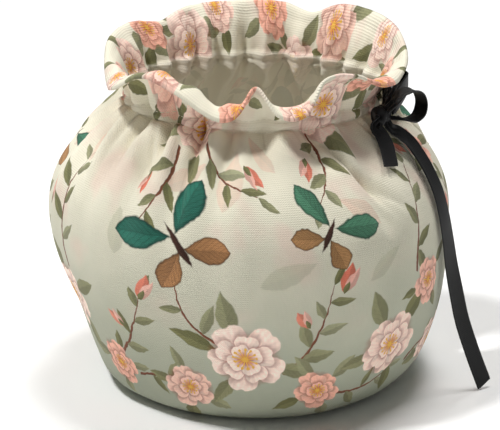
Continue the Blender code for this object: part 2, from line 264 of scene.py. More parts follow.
MEASURED_ROWS = 400
MEASURED_EVERY_DEG = 15.0

# The ribbon's stretches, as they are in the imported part, each from the knot outwards. Millimetres and
# degrees: the middle line, and the azimuth and elevation that the ribbon's face looks towards there.
RibbonPoint = namedtuple("RibbonPoint", "x y z facing tilt")
TAIL_LONG = [
    RibbonPoint(68.4, -42.8, 149.8, -56, 34),
    RibbonPoint(71.4, -43.6, 146.0, -55, 40),
    RibbonPoint(75.8, -41.8, 143.4, -50, 48),
    RibbonPoint(81.4, -39.6, 138.4, -42, 45),
    RibbonPoint(87.0, -40.4, 130.8, -38, 38),
    RibbonPoint(91.9, -42.0, 122.6, -36, 30),
    RibbonPoint(96.4, -43.5, 112.6, -36, 18),
    RibbonPoint(100.0, -43.6, 99.3, -36, 5),
    RibbonPoint(102.6, -41.0, 85.8, -38, -4),
    RibbonPoint(105.0, -38.2, 71.0, -44, -8),
    RibbonPoint(107.8, -36.6, 57.0, -50, -6),
    RibbonPoint(111.7, -36.0, 39.6, -54, 4),
    RibbonPoint(118.0, -36.0, 21.0, -56, 10),
    RibbonPoint(125.4, -36.2, 1.9, -58, 12),
]
TAIL_SHORT = [
    RibbonPoint(64.6, -45.4, 151.2, -54, 0),
    RibbonPoint(62.8, -50.4, 149.1, -52, 10),
    RibbonPoint(65.2, -51.6, 146.2, -50, 32),
    RibbonPoint(67.6, -53.6, 142.4, -48, 42),
    RibbonPoint(69.2, -57.8, 137.4, -46, 40),
    RibbonPoint(70.5, -62.6, 131.8, -45, 38),
]
LOOP_LOWER = [
    RibbonPoint(69.0, -43.6, 155.4, 37, 160),
    RibbonPoint(73.6, -42.6, 159.8, 37, 150),
    RibbonPoint(76.8, -36.9, 162.3, 37, 120),
    RibbonPoint(81.6, -30.8, 163.0, 37, 88),
    RibbonPoint(86.2, -25.0, 160.0, 37, 45),
    RibbonPoint(88.4, -22.0, 153.8, 37, 0),
    RibbonPoint(87.0, -24.0, 148.3, 37, -50),
    RibbonPoint(82.4, -29.9, 146.8, 37, -95),
    RibbonPoint(77.9, -38.0, 149.8, 37, -125),
    RibbonPoint(70.6, -41.8, 151.6, 37, -125),
]
LOOP_UPPER = [
    RibbonPoint(70.1, -37.2, 154.6, 155, -12),
    RibbonPoint(74.4, -22.0, 157.2, 155, -10),
    RibbonPoint(75.7, -11.5, 159.5, 152, -4),
    RibbonPoint(77.8, -1.6, 160.4, 120, 0),
    RibbonPoint(80.6, 2.4, 160.0, 65, 0),
    RibbonPoint(82.8, -1.0, 159.6, 5, 0),
    RibbonPoint(80.9, -10.0, 158.8, -20, 6),
    RibbonPoint(76.8, -22.0, 156.8, -24, 10),
    RibbonPoint(71.4, -37.6, 154.2, -28, 12),
]
DRAW_FRONT = [
    RibbonPoint(69.3, -10.3, 154.7, -90, 0),
    RibbonPoint(71.0, -9.3, 154.8, -20, 5),
    RibbonPoint(72.1, -11.6, 155.0, 5, 12),
    RibbonPoint(70.7, -20.0, 154.6, -14, 15),
    RibbonPoint(67.6, -35.6, 153.8, -28, 15),
]
DRAW_BACK = [
    RibbonPoint(71.4, -6.5, 154.6, 0, 0),
    RibbonPoint(73.9, -8.8, 154.8, 12, 8),
    RibbonPoint(73.7, -13.0, 154.9, -4, 12),
    RibbonPoint(72.2, -20.6, 154.8, -15, 15),
    RibbonPoint(68.8, -36.4, 154.0, -28, 15),
]

# The ribbon's grid, its curl, its thicker edge, and the slant of its cut ends as a share of its width.
# Millimetres.
RIBBON_STEP = 0.8
RIBBON_COLUMNS = 12
RIBBON_CURL = 0.35
CURL_RUN = 17.0
CURL_START = 0.7
BEAD = 0.35
BEAD_FROM = 0.86
BEAD_EDGE = 0.08
CUT_SLANT = 0.16
CUT_REACH = 8.0

# Towards the knot the ribbon draws together into lengthwise folds: how near that begins and is complete,
# how narrow it gets, and how deep the folds are. Millimetres.
DRAWN_FROM = 15.0
DRAWN_TO = 6.0
DRAWN_WIDTH = 0.55
DRAWN_FOLD = 0.9
DRAWN_WAVES = 7.0
DRAWN_START = 1.2

# The stretches, in the order in which they are made
RIBBON = {
    "ribbon_tail_long": TAIL_LONG,
    "ribbon_tail_short": TAIL_SHORT,
    "ribbon_loop_lower": LOOP_LOWER,
    "ribbon_loop_upper": LOOP_UPPER,
    "ribbon_draw_front": DRAW_FRONT,
    "ribbon_draw_back": DRAW_BACK,
}

# The knot: a wrap of ribbon round a folded core. Its ends are closed to a share of its size. Millimetres.
KNOT_HALF_DEPTH = 3.9
KNOT_HALF_HEIGHT = 5.2
KNOT_HALF_WIDTH = 4.6
KNOT_CLOTH_HALF_WIDTH = 4.5
KNOT_BELLY = 0.10
KNOT_SWAY = 0.5
KNOT_CLOSED = 0.25
KNOT_CLOTH_ROUND = 5
Pleat = namedtuple("Pleat", "rise waves sway start")
KNOT_PLEATS = [
    Pleat(0.5, 6.5, 0.6, 0.0),
    Pleat(0.25, 13.0, 2.0, 1.0),
]
KNOT_STEPS = 48
KNOT_COLUMNS = 14
KNOT_PLACE = (66.6, -41.9, 152.8)
KNOT_FACING_DEG = -33.0

# The print, laid out on the flat cloth of each panel. Millimetres and degrees: s runs from the panel's
# middle towards its right, t up from the hem's inner edge, and a heading is turned from +s towards +t.
# Tones run from 0, pale, to 1, deep. First the open flowers.
Bloom = namedtuple("Bloom", "s t radius turn squash tone")
BLOOMS = [
    Bloom(-152, 50, 16, 20, 0.92, 0.3),
    Bloom(-118, 74, 20, 75, 0.88, 0.1),
    Bloom(-86, 44, 15, 130, 0.80, 0.8),
    Bloom(-38, 40, 17, 10, 0.88, 0.5),
    Bloom(-4, 62, 23, 60, 0.92, 0.1),
    Bloom(34, 40, 16, 150, 0.80, 0.8),
    Bloom(78, 58, 22, 35, 0.90, 0.2),
    Bloom(106, 88, 15, 110, 0.84, 0.7),
    Bloom(126, 46, 18, 170, 0.88, 0.2),
    Bloom(157, 76, 15, 80, 0.85, 0.5),
    Bloom(138, 154, 16, 40, 0.86, 0.8),
    Bloom(-30, 186, 19, 25, 0.92, 0.2),
    Bloom(-62, 207, 21, 100, 0.90, 0.5),
    Bloom(-8, 212, 16, 60, 0.84, 0.9),
    Bloom(64, 198, 24, 140, 0.90, 0.2),
    Bloom(96, 212, 17, 10, 0.84, 0.9),
    Bloom(34, 214, 15, 70, 0.85, 0.4),
    Bloom(138, 196, 19, 70, 0.90, 0.3),
    Bloom(-118, 210, 18, 20, 0.88, 0.2),
    Bloom(-152, 196, 17, 0, 0.85, 0.6),
]

# Closed flowers, and the petals and calyx that each is drawn with: turned, long and wide as shares of it
Bud = namedtuple("Bud", "s t length heading tone")
BUDS = [
    Bud(-56, 90, 17, 62, 0.6),
    Bud(-69, 70, 13, 128, 0.4),
    Bud(46, 96, 17, 70, 0.7),
    Bud(30, 79, 13, 118, 0.5),
    Bud(138, 112, 15, 96, 0.6),
    Bud(-132, 120, 16, 80, 0.5),
    Bud(4, 164, 15, -58, 0.6),
    Bud(-52, 158, 14, -112, 0.7),
    Bud(44, 168, 15, -120, 0.6),
    Bud(112, 168, 14, -70, 0.5),
]
BudPart = namedtuple("BudPart", "name turn length width veins")
BUD_PARTS = [
    BudPart("petal", 9, 1.0, 0.46, 0.2),
    BudPart("pale petal", -9, 0.92, 0.36, 0.2),
    BudPart("calyx", 0, 0.42, 0.5, 0.4),
]
BUD_PALENESS = 0.45

# Twigs with their leaves
Branch = namedtuple("Branch", "s t heading length bend leaves leaf")
BRANCHES = [
    Branch(-112, 92, 84, 68, 7, 7, 20),
    Branch(-84, 50, 58, 54, -6, 5, 18),
    Branch(-14, 70, 122, 42, 6, 3, 18),
    Branch(14, 52, 62, 56, -7, 6, 18),
    Branch(94, 96, 76, 58, 7, 5, 18),
    Branch(142, 92, 98, 50, -5, 5, 17),
    Branch(-40, 172, -110, 44, 6, 5, 18),
    Branch(-20, 176, -44, 40, -6, 5, 18),
    Branch(58, 189, -112, 50, 6, 5, 18),
    Branch(120, 184, -88, 26, -4, 3, 16),
    Branch(-150, 70, 96, 60, -6, 6, 18),
    Branch(44, 37, 8, 40, -5, 4, 15),
    Branch(-72, 40, -4, 44, 5, 4, 15),
    Branch(98, 42, 14, 30, 4, 3, 15),
]

# A twig: its half-width in millimetres, the room to its sides for its bend, as a share of its half-length,
# and where its first leaf grows, as a share of its length. Its leaves get smaller along it, and chance
# turns, lengthens and widens them.
TWIG_HALF_WIDTH = 0.75
TWIG_ROOM = 0.3
FIRST_LEAF = 0.22
FIRST_LEAF_SIZE = 1.05
LEAF_SHRINKS = 0.4
LEAF_SPLAY = (35, 62)
LEAF_LENGTH = (0.85, 1.15)
LEAF_WIDTH = (0.32, 0.45)

# The leaves behind an open flower: their roots as a share of its radius, how chance turns, lengthens and
# widens them, and how far they may be from the darkest green
LEAVES_ROUND_BLOOM = 4
BLOOM_LEAF_ROOT = 0.62
BLOOM_LEAF_TURN = (-25, 25)
BLOOM_LEAF_LENGTH = (0.85, 1.2)
BLOOM_LEAF_WIDTH = (0.38, 0.5)
BLOOM_LEAF_PALENESS = 0.8

# Butterflies. Their wings' roots lie beside their middle by a share of the span, and ahead of it or behind.
Butterfly = namedtuple("Butterfly", "s t span heading tone")
BUTTERFLIES = [
    Butterfly(-34, 124, 58, 122, 0.1),
    Butterfly(40, 128, 46, 56, 0.6),
    Butterfly(-148, 152, 40, 70, 0.5),
]
Wing = namedtuple("Wing", "kind ahead splay length width")
WINGS = [
    Wing("leaf", -0.06, 122, 0.40, 0.58),
    Wing("wing", 0.06, 60, 0.56, 0.48),
]
WING_ROOT = 0.012
RUST_YELLOW = 0.35
RUST_DARK = 0.45
TAIL_PLACE = -0.24
BODY_LENGTH = 0.46
BODY_WIDTH = 0.17
BODY_BRIGHTNESS = 0.25

# Faint leaves and petals in the ground
Haze = namedtuple("Haze", "s t heading length width colour")
HAZES = [
    Haze(-10, 140, 70, 34, 0.42, "petal_pink"),
    Haze(22, 160, 120, 26, 0.40, "petal_pink"),
    Haze(-42, 150, 30, 28, 0.45, "petal_pink"),
    Haze(70, 128, 140, 26, 0.45, "petal_pink"),
    Haze(112, 150, 60, 30, 0.40, "leaf_sage"),
    Haze(-104, 150, 110, 30, 0.42, "petal_pink"),
    Haze(4, 104, 20, 30, 0.40, "leaf_sage"),
    Haze(-70, 112, 80, 26, 0.40, "leaf_sage"),
    Haze(60, 100, 40, 24, 0.40, "leaf_sage"),
    Haze(-140, 150, 60, 26, 0.40, "petal_pink"),
    Haze(148, 168, 110, 26, 0.40, "petal_pink"),
]
HAZE_OPACITY = 0.30
HAZE_VEINS = 0.3

# The layers of the print, the lowest first: as many of a kind as its motifs may lie over each other
LAYERS = ["haze0", "twig0", "leaf0", "leaf1", "leaf2", "bloom0", "bloom1", "wing0", "wing1", "wing2"]

# How much wider than itself a motif's room on the cloth is, in millimetres, and a place outside every motif
MOTIF_MARGIN = 1.7
NOWHERE = 9.0

# How far a leaf's widest place is towards its root, and a wing's towards its tip
LEAF_LEAN = 0.34
WING_LEAN = -0.55

# Too faint to see
TRACE = (1e-6, 1e-6, 1e-6)

# How leaves, petals and wings are drawn, as shares of their half-length and of their brightness: the soft
# width of their outline, their side veins' closeness, slant and threshold, their midrib's half-width, how
# dark both are, and how dark a wing's rim is. Then the ranges of MapRange nodes.
LEAF_OUTLINE = 0.06
VEIN_WAVES = 26.0
VEIN_SLANT = -1.3
VEIN_ABOVE = 0.82
MIDRIB = 0.022
VEIN_DARK = -0.26
RIM_DARK = -0.75
WING_RIM = (0.02, 0.16, 1.0, 0.0)
DARKER_HALF = (-0.03, 0.03, 0.80, 1.06)
TOWARDS_TIP = (-1.0, 1.0, 0.86, 1.12)
TWIG_TAPER = (-1.0, 1.0, 1.5, 0.5)
TWIG_OUTLINE = (0.0, 0.012, 0.0, 1.0)
TWIG_LIT = (-0.03, 0.03, 0.75, 1.25)

# The rings of petals of a bloom, the outermost first: petals, the ring's reach, its turn, how much of
# the coral root shows in it, and how deeply the petals part
Ring = namedtuple("Ring", "petals reach turn root parting")
RINGS = [
    Ring(5, 1.00, 0.00, 0.48, 0.42),
    Ring(5, 0.76, 0.50, 0.78, 0.38),
    Ring(4, 0.46, 0.21, 1.00, 0.36),
]

# The stamens, as shares of the bloom's radius but for their number: their length, their half-width, their
# heads' radius and the eye's
STAMENS = 13
STAMEN_LENGTH = 0.27
STAMEN_WIDTH = 0.014
STAMEN_HEAD = 0.034
EYE = 0.05

# The petals: how far chance turns them, the shortest as a share of the longest, how sharply they part, the
# waves and depth of their streaks, how much deeper a deep bloom's root is, and how bright the shadow under
# a ring is. Then the ranges of MapRange nodes.
BLOOM_TURN = 11.0
PETAL_SHORTEST = 0.84
PETAL_PARTING_POWER = 4.0
STREAK_WAVES = 44.0
STREAK_DEPTH = 0.045
ROOT_DEPTH = 0.35
SHADOW_BRIGHTNESS = 0.42
PETAL_NOTCH = (0.0, 0.22, 0.05, 0.0)
PETAL_SHADOW = (1.0, 1.30, 0.42, 0.0)
PETAL_ROOT = (0.05, 0.80, 1.0, 0.0)
PETAL_TUCKED = (-0.5, -0.05, 0.74, 1.0)
PETAL_BRIGHT = (0.45, 0.97, 0.96, 1.16)
PETAL_OUTLINE = (0.96, 1.0, 1.0, 0.0)

# The ground's colour by the distance up the cloth, as shares from sage to cream. The distances are read
# from a height that wavers by up to GROUND_WAVER. Millimetres.
GROUND_FROM = 30.0
GROUND_TO = 230.0
GROUND_WAVER = 60.0
Ground = namedtuple("Ground", "up cream")
GROUND = [
    Ground(20, 0.0),
    Ground(60, 0.16),
    Ground(95, 0.45),
    Ground(125, 0.78),
    Ground(160, 1.0),
]

# How far the drawing hand wavers, in millimetres
WOBBLE = 2.2

# How fine each unevenness is, in waves a millimetre: of the drawing hand, the cloth's grain, the ground's
# drift, its pale wash, the cloth's wear, the ribbon's dust and the thread's fuzz
HAND_WAVES = 0.22
GRAIN_WAVES = 0.35
DRIFT_WAVES = 0.018
WASH_WAVES = 0.026
WEAR_WAVES = 0.12
DUST_WAVES = 0.5
FUZZ_WAVES = 2.2

# The relief of the cloth's wear and weave, the ribbon's ribs and the thread's fuzz, in millimetres
WEAR_RELIEF = 1.2
WEAVE_RELIEF = 0.2
RIB_RELIEF = 0.1
FUZZ_RELIEF = 0.1

# The pale wash: where in the noise it is read, and the ranges of MapRange nodes for its patches and, by the
# distance up the cloth, for how strong it is
WASH_PLACE = (91.0, 17.0, 5.0)
WASH = (0.52, 0.68, 0.0, 0.55)
WASH_ALOFT = (70.0, 120.0, 0.0, 1.0)

# How much of the print the reverse hides, how much the weft stands out alone, and where in from its edge
# the ribbon's ribs begin, as a MapRange node's ranges in millimetres. The reverse shows where right_side is
# less than REVERSE_BELOW, and ends softly above the channel.
REVERSE_OPACITY = 0.82
REVERSE_BELOW = 0.25
REVERSE_END = 2.0
WEFT_RIB = 0.6
RIBBON_BODY = (0.45, 0.75, 0.0, 1.0)

# The turned hem at the rim is stretched, so its weave shows this much more, in relief and in the painted
# shade of its grooves
RIM_RIBS = 2.2

# Rows of stitches on the outer face, along the cloth or up its side hems. Millimetres.
STITCH_LENGTH = 2.3
STITCH_PITCH = 3.1
STITCH_THICKNESS = 0.42
STITCH_SIDES = 6
STITCH_PLACES = 800
FIRST_STITCH = 1.0
STITCH_INSET = 1.5
SIDE_STITCH_INSET = 4.5
SIDE_STITCH_FROM = 22.0
SIDE_STITCH_SHORT_OF_CHANNEL = 2.0

# A stitch's sections, as shares of its length, of its half thickness and of its thickness
Section = namedtuple("Section", "along size lift")
STITCH_SECTIONS = [
    Section(0.0, 0.35, -0.35),
    Section(0.12, 0.9, -0.02),
    Section(0.5, 1.0, 0.12),
    Section(0.88, 0.9, -0.02),
    Section(1.0, 0.35, -0.35),
]

# The camera's aim in metres, and the lamps: in metres and watts
AIM = (0.0003, 0.0, 0.0852)
SENSOR_WIDTH = 36.0
FLOOR_SIZE = 8.0
ROOM_LIGHT = 0.13
Lamp = namedtuple("Lamp", "name place size power")
LAMPS = [
    Lamp("key light", (-0.85, -0.3, 2.0), 0.25, 32.0),
    Lamp("top light", (0.4, 0.5, 2.7), 0.9, 48.0),
]

# The setting that eases a MapRange node in and out. Its four numbers are the range that it reads and the
# range that it gives.
SMOOTH = {"interpolation_type": "SMOOTHSTEP"}

# A motif on the flat cloth: its kind, its centre and heading, its half-length, its width as a share of
# its length, its form (numbers that its kind's shader reads), its colour and how opaque it is
Motif = namedtuple("Motif", "kind s t heading size width form colour opacity")

# Distances up the cloth, in millimetres
Lengths = namedtuple("Lengths", "channel_low channel whole")


def linear(hex_colour):
    """An sRGB hex colour as linear red, green and blue."""
    channels = [int(hex_colour[i : i + 2], 16) / 255 for i in (1, 3, 5)]
    return [c / 12.92 if c <= 0.04045 else ((c + 0.055) / 1.055) ** 2.4 for c in channels]


def opaque(colour, share=1.0):
    """A colour with an alpha of 1, darkened to a share of its brightness."""
    return [share * channel for channel in colour[:3]] + [1.0]


def colour_property(name, hex_colour, description):
    """A colour that a user would change."""
    return bpy.props.FloatVectorProperty(
        name=name, description=description, subtype="COLOR", size=3, min=0, max=1, default=linear(hex_colour)
    )


class TeaCosyCloth(bpy.types.PropertyGroup):
    """Sizes and colours of the printed cloth."""

    weave_pitch: bpy.props.FloatProperty(
        name="Weave pitch", description="From one thread to the next", default=0.0011, unit="LENGTH"
    )
    rim_hem: bpy.props.FloatProperty(
        name="Rim hem", description="Width of the hem at the collar's rim", default=0.0065, unit="LENGTH"
    )
    cream: colour_property("Cream", "#F2ECD6", "Ground of the print at the top")
    sage: colour_property("Sage", "#A7AC98", "Ground of the print at the foot")
    blush: colour_property("Blush", "#EBCFC0", "Pale wash in the ground")
    thread: colour_property("Thread", "#E9E2CC", "Sewing thread")
    reverse: colour_property("Reverse", "#EAE4D3", "Unprinted side of the cloth")


class TeaCosyPrint(bpy.types.PropertyGroup):
    """Colours of the flowers, leaves, twigs and butterflies."""

    petal_pale: colour_property("Pale petal", "#FAE6D8", "Rim of a pale petal")
    petal_pink: colour_property("Pink petal", "#EFAD94", "Middle of a petal")
    petal_coral: colour_property("Coral petal", "#D4573B", "Root of a petal")
    stamen: colour_property("Stamen", "#EDB950", "Stamens")
    leaf_olive: colour_property("Olive leaf", "#7B7A4E", "Darker leaves")
    leaf_sage: colour_property("Sage leaf", "#A5A583", "Paler leaves")
    twig: colour_property("Twig", "#7B4A35", "Twigs")
    wing_teal: colour_property("Teal wing", "#1F6B5C", "Darker wings")
    wing_green: colour_property("Green wing", "#5F8F6B", "Paler wings")
    seed: bpy.props.IntProperty(name="Seed", description="Changes the leaves' places", default=7, min=0)


class TeaCosyRibbon(bpy.types.PropertyGroup):
    """Sizes and colour of the ribbon."""

    width: bpy.props.FloatProperty(
        name="Width", description="Width of the ribbon", default=0.009, unit="LENGTH"
    )
    thickness: bpy.props.FloatProperty(
        name="Thickness", description="Thickness of the ribbon", default=0.0006, unit="LENGTH"
    )
    rib_pitch: bpy.props.FloatProperty(
        name="Rib pitch", description="From one rib to the next", default=0.0010, unit="LENGTH"
    )
    black: colour_property("Black", "#0B0B0C", "The ribbon's dye")


class TeaCosyStage(bpy.types.PropertyGroup):
    """The camera, the floor and the light."""

    elevation: bpy.props.FloatProperty(
        name="Elevation", description="Camera above the horizon", default=math.radians(19), subtype="ANGLE"
    )
    distance: bpy.props.FloatProperty(
        name="Distance", description="From the camera to its aim", default=1.0, unit="LENGTH"
    )
    lens: bpy.props.FloatProperty(name="Lens", description="Focal length in millimetres", default=134.1)
    floor: colour_property("Floor", "#FCFCFB", "The floor")


def connect(node, values):
    """Sets or links a node's inputs, given by name or number. One that is None is left as it is."""
    for place, value in values.items():
        if isinstance(value, bpy.types.NodeSocket):
            node.id_data.links.new(value, node.inputs[place])
        elif value is not None:
            node.inputs[place].default_value = value


def add_node(tree, kind, *values, out=0, **settings):
    """Adds a shader node and returns one of its outputs. Its operation may follow its kind. Its inputs come
    in order, or by name in a dict."""
    kind, _, operation = kind.partition(" ")
    made = tree.nodes.new("ShaderNode" + kind)
    if operation:
        made.operation = operation
    for name, value in settings.items():
        setattr(made, name, value)
    connect(made, values[0] if values and isinstance(values[0], dict) else dict(enumerate(values)))
    return made.outputs[out]


def new_material(name):
    """A material, what adds nodes to it, and its Principled shader."""
    material = bpy.data.materials.new(name)
    material.use_nodes = True
    tree = material.node_tree
    return material, partial(add_node, tree), tree.nodes["Principled BSDF"]


def hermite(places, values, at, period=None):
    """The values at an array of places on a smooth curve through a table, round a period if given."""
    places = np.asarray(places, float)
    values = np.asarray(values, float)
    at = np.asarray(at, float)
    if period:
        places = np.concatenate((places[-1:] - period, places, places[:2] + period))
        values = np.concatenate((values[-1:], values, values[:2]))
        at = (at - places[1]) % period + places[1]
    else:
        places = np.concatenate((places[:1], places, places[-1:]))
        values = np.concatenate((values[:1], values, values[-1:]))
    index = np.clip(np.searchsorted(places, at, side="right") - 1, 1, len(places) - 3)
    xa, xb, xc, xd = (places[index + k] for k in (-1, 0, 1, 2))
    ya, yb, yc, yd = (values[index + k] for k in (-1, 0, 1, 2))
    span = xc - xb
    share = (at - xb) / span
    slope_b = (yc - ya) / (xc - xa) * span
    slope_c = (yd - yb) / (xd - xb) * span
    return (
        yb * (2 * share**3 - 3 * share**2 + 1)
        + slope_b * (share**3 - 2 * share**2 + share)
        + yc * (3 * share**2 - 2 * share**3)
        + slope_c * (share**3 - share**2)
    )


def smoothstep(share):
    """0 below 0, 1 above 1, and an even turn between them."""
    share = np.clip(share, 0.0, 1.0)
    return share * share * (3 - 2 * share)


def blend(one, other, share):
    """A colour between two."""
    return [a + (b - a) * share for a, b in zip(one, other)]


def step(s, t, heading, distance):
    """The place that is a distance away along a heading, on the flat cloth."""
    turn = math.radians(heading)
    return s + distance * math.cos(turn), t + distance * math.sin(turn)


def unit(vectors):
    """Vectors along an array's last axis, each with a length of 1."""
    return vectors / np.linalg.norm(vectors, axis=-1, keepdims=True)


def walked(points):
    """The distance walked along a row of points, at each of them."""
    return np.concatenate(([0], np.cumsum(np.linalg.norm(np.diff(points, axis=0), axis=1))))


def wall_curve(column, row):
    """A column of the wall's table at rows that may lie between its own."""
    values = [getattr(station, column) for station in WALL]
    return hermite(range(len(WALL)), values, np.minimum(row, CHANNEL_TOP_ROW))


def collar_share(row):
    """How far up the collar a row is, from 0 at the channel's top to 1 at the rim."""
    return np.clip((row - CHANNEL_TOP_ROW) / COLLAR_ROWS, 0, 1)


def wall_column(column, row):
    """A column of the wall's table, which runs on from the channel's top to the rim's value. A slit closes
    before that."""
    wall = wall_curve(column, row)
    if column.endswith("slit"):
        still_open = np.clip(1 - (row - CHANNEL_TOP_ROW) / SLIT_CLOSING_ROWS, 0, 1)
        return np.maximum(wall * still_open, 0)
    return wall + (getattr(RIM, column) - getattr(WALL[-1], column)) * collar_share(row)


def round_curve(table, column, azimuth):
    """A column of a table by azimuth, at any azimuths."""
    places = [row.azimuth for row in table]
    return hermite(places, [getattr(row, column) for row in table], azimuth, period=360.0)


def meridian(row, azimuth):
    """(radius, height) of the cloth's middle at rows and azimuths, before the gathers, in millimetres."""
    row, azimuth = np.broadcast_arrays(row, azimuth)
    share = collar_share(row)
    keep, lean, out = (1 - share) ** 2, 2 * share * (1 - share), share**2
    found = []
    for column in ("radius", "height"):
        collar = keep * getattr(WALL[-1], column) + lean * round_curve(COLLAR, "lean_" + column, azimuth)
        collar = collar + out * round_curve(COLLAR, "rim_" + column, azimuth)
        found.append(np.where(row > CHANNEL_TOP_ROW, collar, wall_curve(column, row)))
    return found


def gather_wave(azimuth):
    """The gathers' rise, from -1 in a crease to 1 on a ridge: broad ridges, narrow creases, all uneven."""
    turn = np.radians(azimuth)
    drift = sum(wave.shift * np.sin(wave.waves * turn + wave.start) for wave in GATHER_DRIFT)
    swing = np.cos(GATHERS * turn + drift)
    ridge = 2 * np.sqrt(0.5 + CREASE_ROUNDING + (0.5 - CREASE_ROUNDING) * swing) - 1
    return round_curve(GATHER_STRENGTH, "strength", azimuth) * (swing + ridge) / 2


def crease_depth(radius, height, azimuth):
    """How deep the creases press the cloth in, in millimetres."""
    depth = np.zeros_like(radius)
    for crease in CREASES:
        along = (crease.top_height - height) / (crease.top_height - crease.foot_height)
        middle = crease.top_azimuth + along * (crease.foot_azimuth - crease.top_azimuth)
        aside = np.radians((azimuth - middle + 180) % 360 - 180) * radius / crease.half_width
        fade = smoothstep((along + CREASE_RUN_ON) / CREASE_TOP_FADE)
        fade = fade * smoothstep((1 + CREASE_RUN_ON - along) / CREASE_FOOT_FADE)
        depth += crease.depth * fade * np.exp(-aside * aside)
    return depth


def pucker_rise(row, azimuth):
    """How far the pleats along the sewn lines lift the cloth."""
    turn = np.radians(azimuth)
    strength = np.clip(round_curve(GATHER_STRENGTH, "strength", azimuth), 0, 1) ** 2
    rise = np.zeros(np.broadcast(row, azimuth).shape)
    for number, pucker in enumerate(PUCKERS):
        from_line = distance_up(row) - distance_up(pucker.row)
        apart = np.abs(from_line)
        fade = np.exp(-apart / np.where(from_line < 0, pucker.below, pucker.above))
        fade = fade * (1 - PUCKER_START_SHARE * np.exp(-apart / PUCKER_START))
        sway = sum(wave.shift * np.sin(wave.waves * turn + wave.start * number) for wave in PUCKER_DRIFT)
        swing = np.cos(pucker.waves * turn + sway + PUCKER_SLANT * from_line)
        patches = np.sin(PATCHES * turn + PATCH_START * number) * np.sin(BROAD_PATCHES * turn)
        uneven = 1 - PUCKER_UNEVEN * (1 - patches)
        ridge = np.sqrt(0.5 + PLEAT_ROUNDING + (0.5 - PLEAT_ROUNDING) * swing)
        pleat = (1 + PLEAT_SINK) * ridge - PLEAT_SINK
        rise = rise + pucker.rise * fade * uneven * strength * pleat
        rise = rise - PINCH_DEPTH * np.exp(-((from_line / PINCH_WIDTH) ** 2))
    return rise


def swell_rise(row, azimuth):
    """The slow unevenness of the whole cloth."""
    turn = np.radians(azimuth)
    climb = row / LAST_ROW * 2 * math.pi
    return sum(s.rise * np.sin(s.around * turn + s.up * climb + s.start) for s in SWELLS)


def crumple_rise(along, from_edge, near):
    """Sharp small folds of bunched cloth, near its right-hand edge beside the drawn channel's end."""
    fade = smoothstep(1 - from_edge / CRUMPLE_REACH) * near
    fade = fade * smoothstep((along - CRUMPLE_LOW) / CRUMPLE_FADE)
    fade = fade * smoothstep((CRUMPLE_HIGH - along) / CRUMPLE_FADE)
    height = np.zeros_like(fade)
    for fold in CRUMPLE_FOLDS:
        line = from_edge * math.cos(fold.turn) + along * math.sin(fold.turn)
        waver = np.sin(from_edge * CRUMPLE_WAVER_OUT + along * CRUMPLE_WAVER_UP + fold.turn)
        line = line + CRUMPLE_WAVER * waver
        height = height + fold.share * (1 - 2 * np.abs(np.sin(math.pi * line / fold.pitch)))
    return CRUMPLE_RISE * fade * height


def panel_edges(row, front):
    """The azimuths between which a panel's rows run: from one seam or slit edge to the next."""
    for side, way in zip(("left", "right") if front else ("right", "left"), (1, -1)):
        seam = wall_column(side + "_seam", row)
        radius = meridian(row, seam)[0]
        slit = wall_column(side + "_slit", row) * (1 if front else BACK_SLIT_FACTOR)
        half_gap = np.maximum(slit, SEAM_GAP / 2)
        full_turn = 360 if front and way == -1 else 0
        yield seam + full_turn + way * np.degrees(half_gap / radius)


def distances_up():
    """Rows, and the distance along the cloth from its hem's edge to each, in millimetres."""
    rows = np.linspace(0, LAST_ROW, MEASURED_ROWS)
    around = np.arange(0, 360, MEASURED_EVERY_DEG)[None, :]
    radius, height = (part.mean(axis=1) for part in meridian(rows[:, None], around))
    steps = np.hypot(np.diff(radius), np.diff(height))
    return rows, np.concatenate(([0], np.cumsum(steps)))


def distance_up(row):
    """The distance along the cloth to any row."""
    return np.interp(row, *distances_up())


def panel_surface(front):
    """A panel's middle surface as a grid of points in metres, each point's place on the flat cloth (across,
    up, and in from the side edge), and the thickness there in metres."""
    rows, up = distances_up()
    along = np.linspace(0, up[-1], PANEL_ROWS + 1)
    row = np.interp(along, up, rows)[:, None]
    share = np.linspace(0, 1, PANEL_COLUMNS + 1)[None, :]
    start, end = panel_edges(row, front)
    azimuth = start + (end - start) * share
    radius, height = meridian(row, azimuth)
    below = np.array(meridian(np.maximum(row - SLOPE_STEP, 0), azimuth))
    climb = np.array(meridian(np.minimum(row + SLOPE_STEP, LAST_ROW), azimuth)) - below
    climb /= np.linalg.norm(climb, axis=0)

    from_seam = np.full(azimuth.shape, 360.0)
    for side in ("left", "right"):
        seam = wall_column(side + "_seam", row)
        from_seam = np.minimum(from_seam, np.abs((azimuth - seam + 180) % 360 - 180))
    calm = smoothstep(from_seam / SEAM_CALM_DEG)
    rise = GATHER_FACTOR * wall_column("gather", row) * gather_wave(azimuth)
    rise = rise - crease_depth(radius, height, azimuth)
    rise = (rise + pucker_rise(row, azimuth) + swell_rise(row, azimuth)) * calm
    along = along[:, None] + 0 * azimuth
    across = (share * 2 - 1) * flat_width() / 2 + 0 * azimuth
    from_edge = flat_width() / 2 - np.abs(across)
    rise = rise + crumple_rise(along, from_edge, (across > 0) if front else (across < 0))
    rise = rise * smoothstep((row - HEM_FLAT_ROW) / HEM_FADE_ROWS)
    radius = radius + climb[1] * rise
    height = height - climb[0] * rise
    turn = np.radians(azimuth)
    points = (wall_column("shift", row) + radius * np.cos(turn), radius * np.sin(turn), height)
    thickness = np.interp(row, [t.row for t in THICKNESS], [t.thickness for t in THICKNESS])
    thickness = thickness + SIDE_HEM_EXTRA * smoothstep((SIDE_HEM - from_edge) / SIDE_HEM_EDGE) * calm
    return np.stack(points, axis=-1) * MM, np.stack((across, along, from_edge), axis=-1), thickness * MM


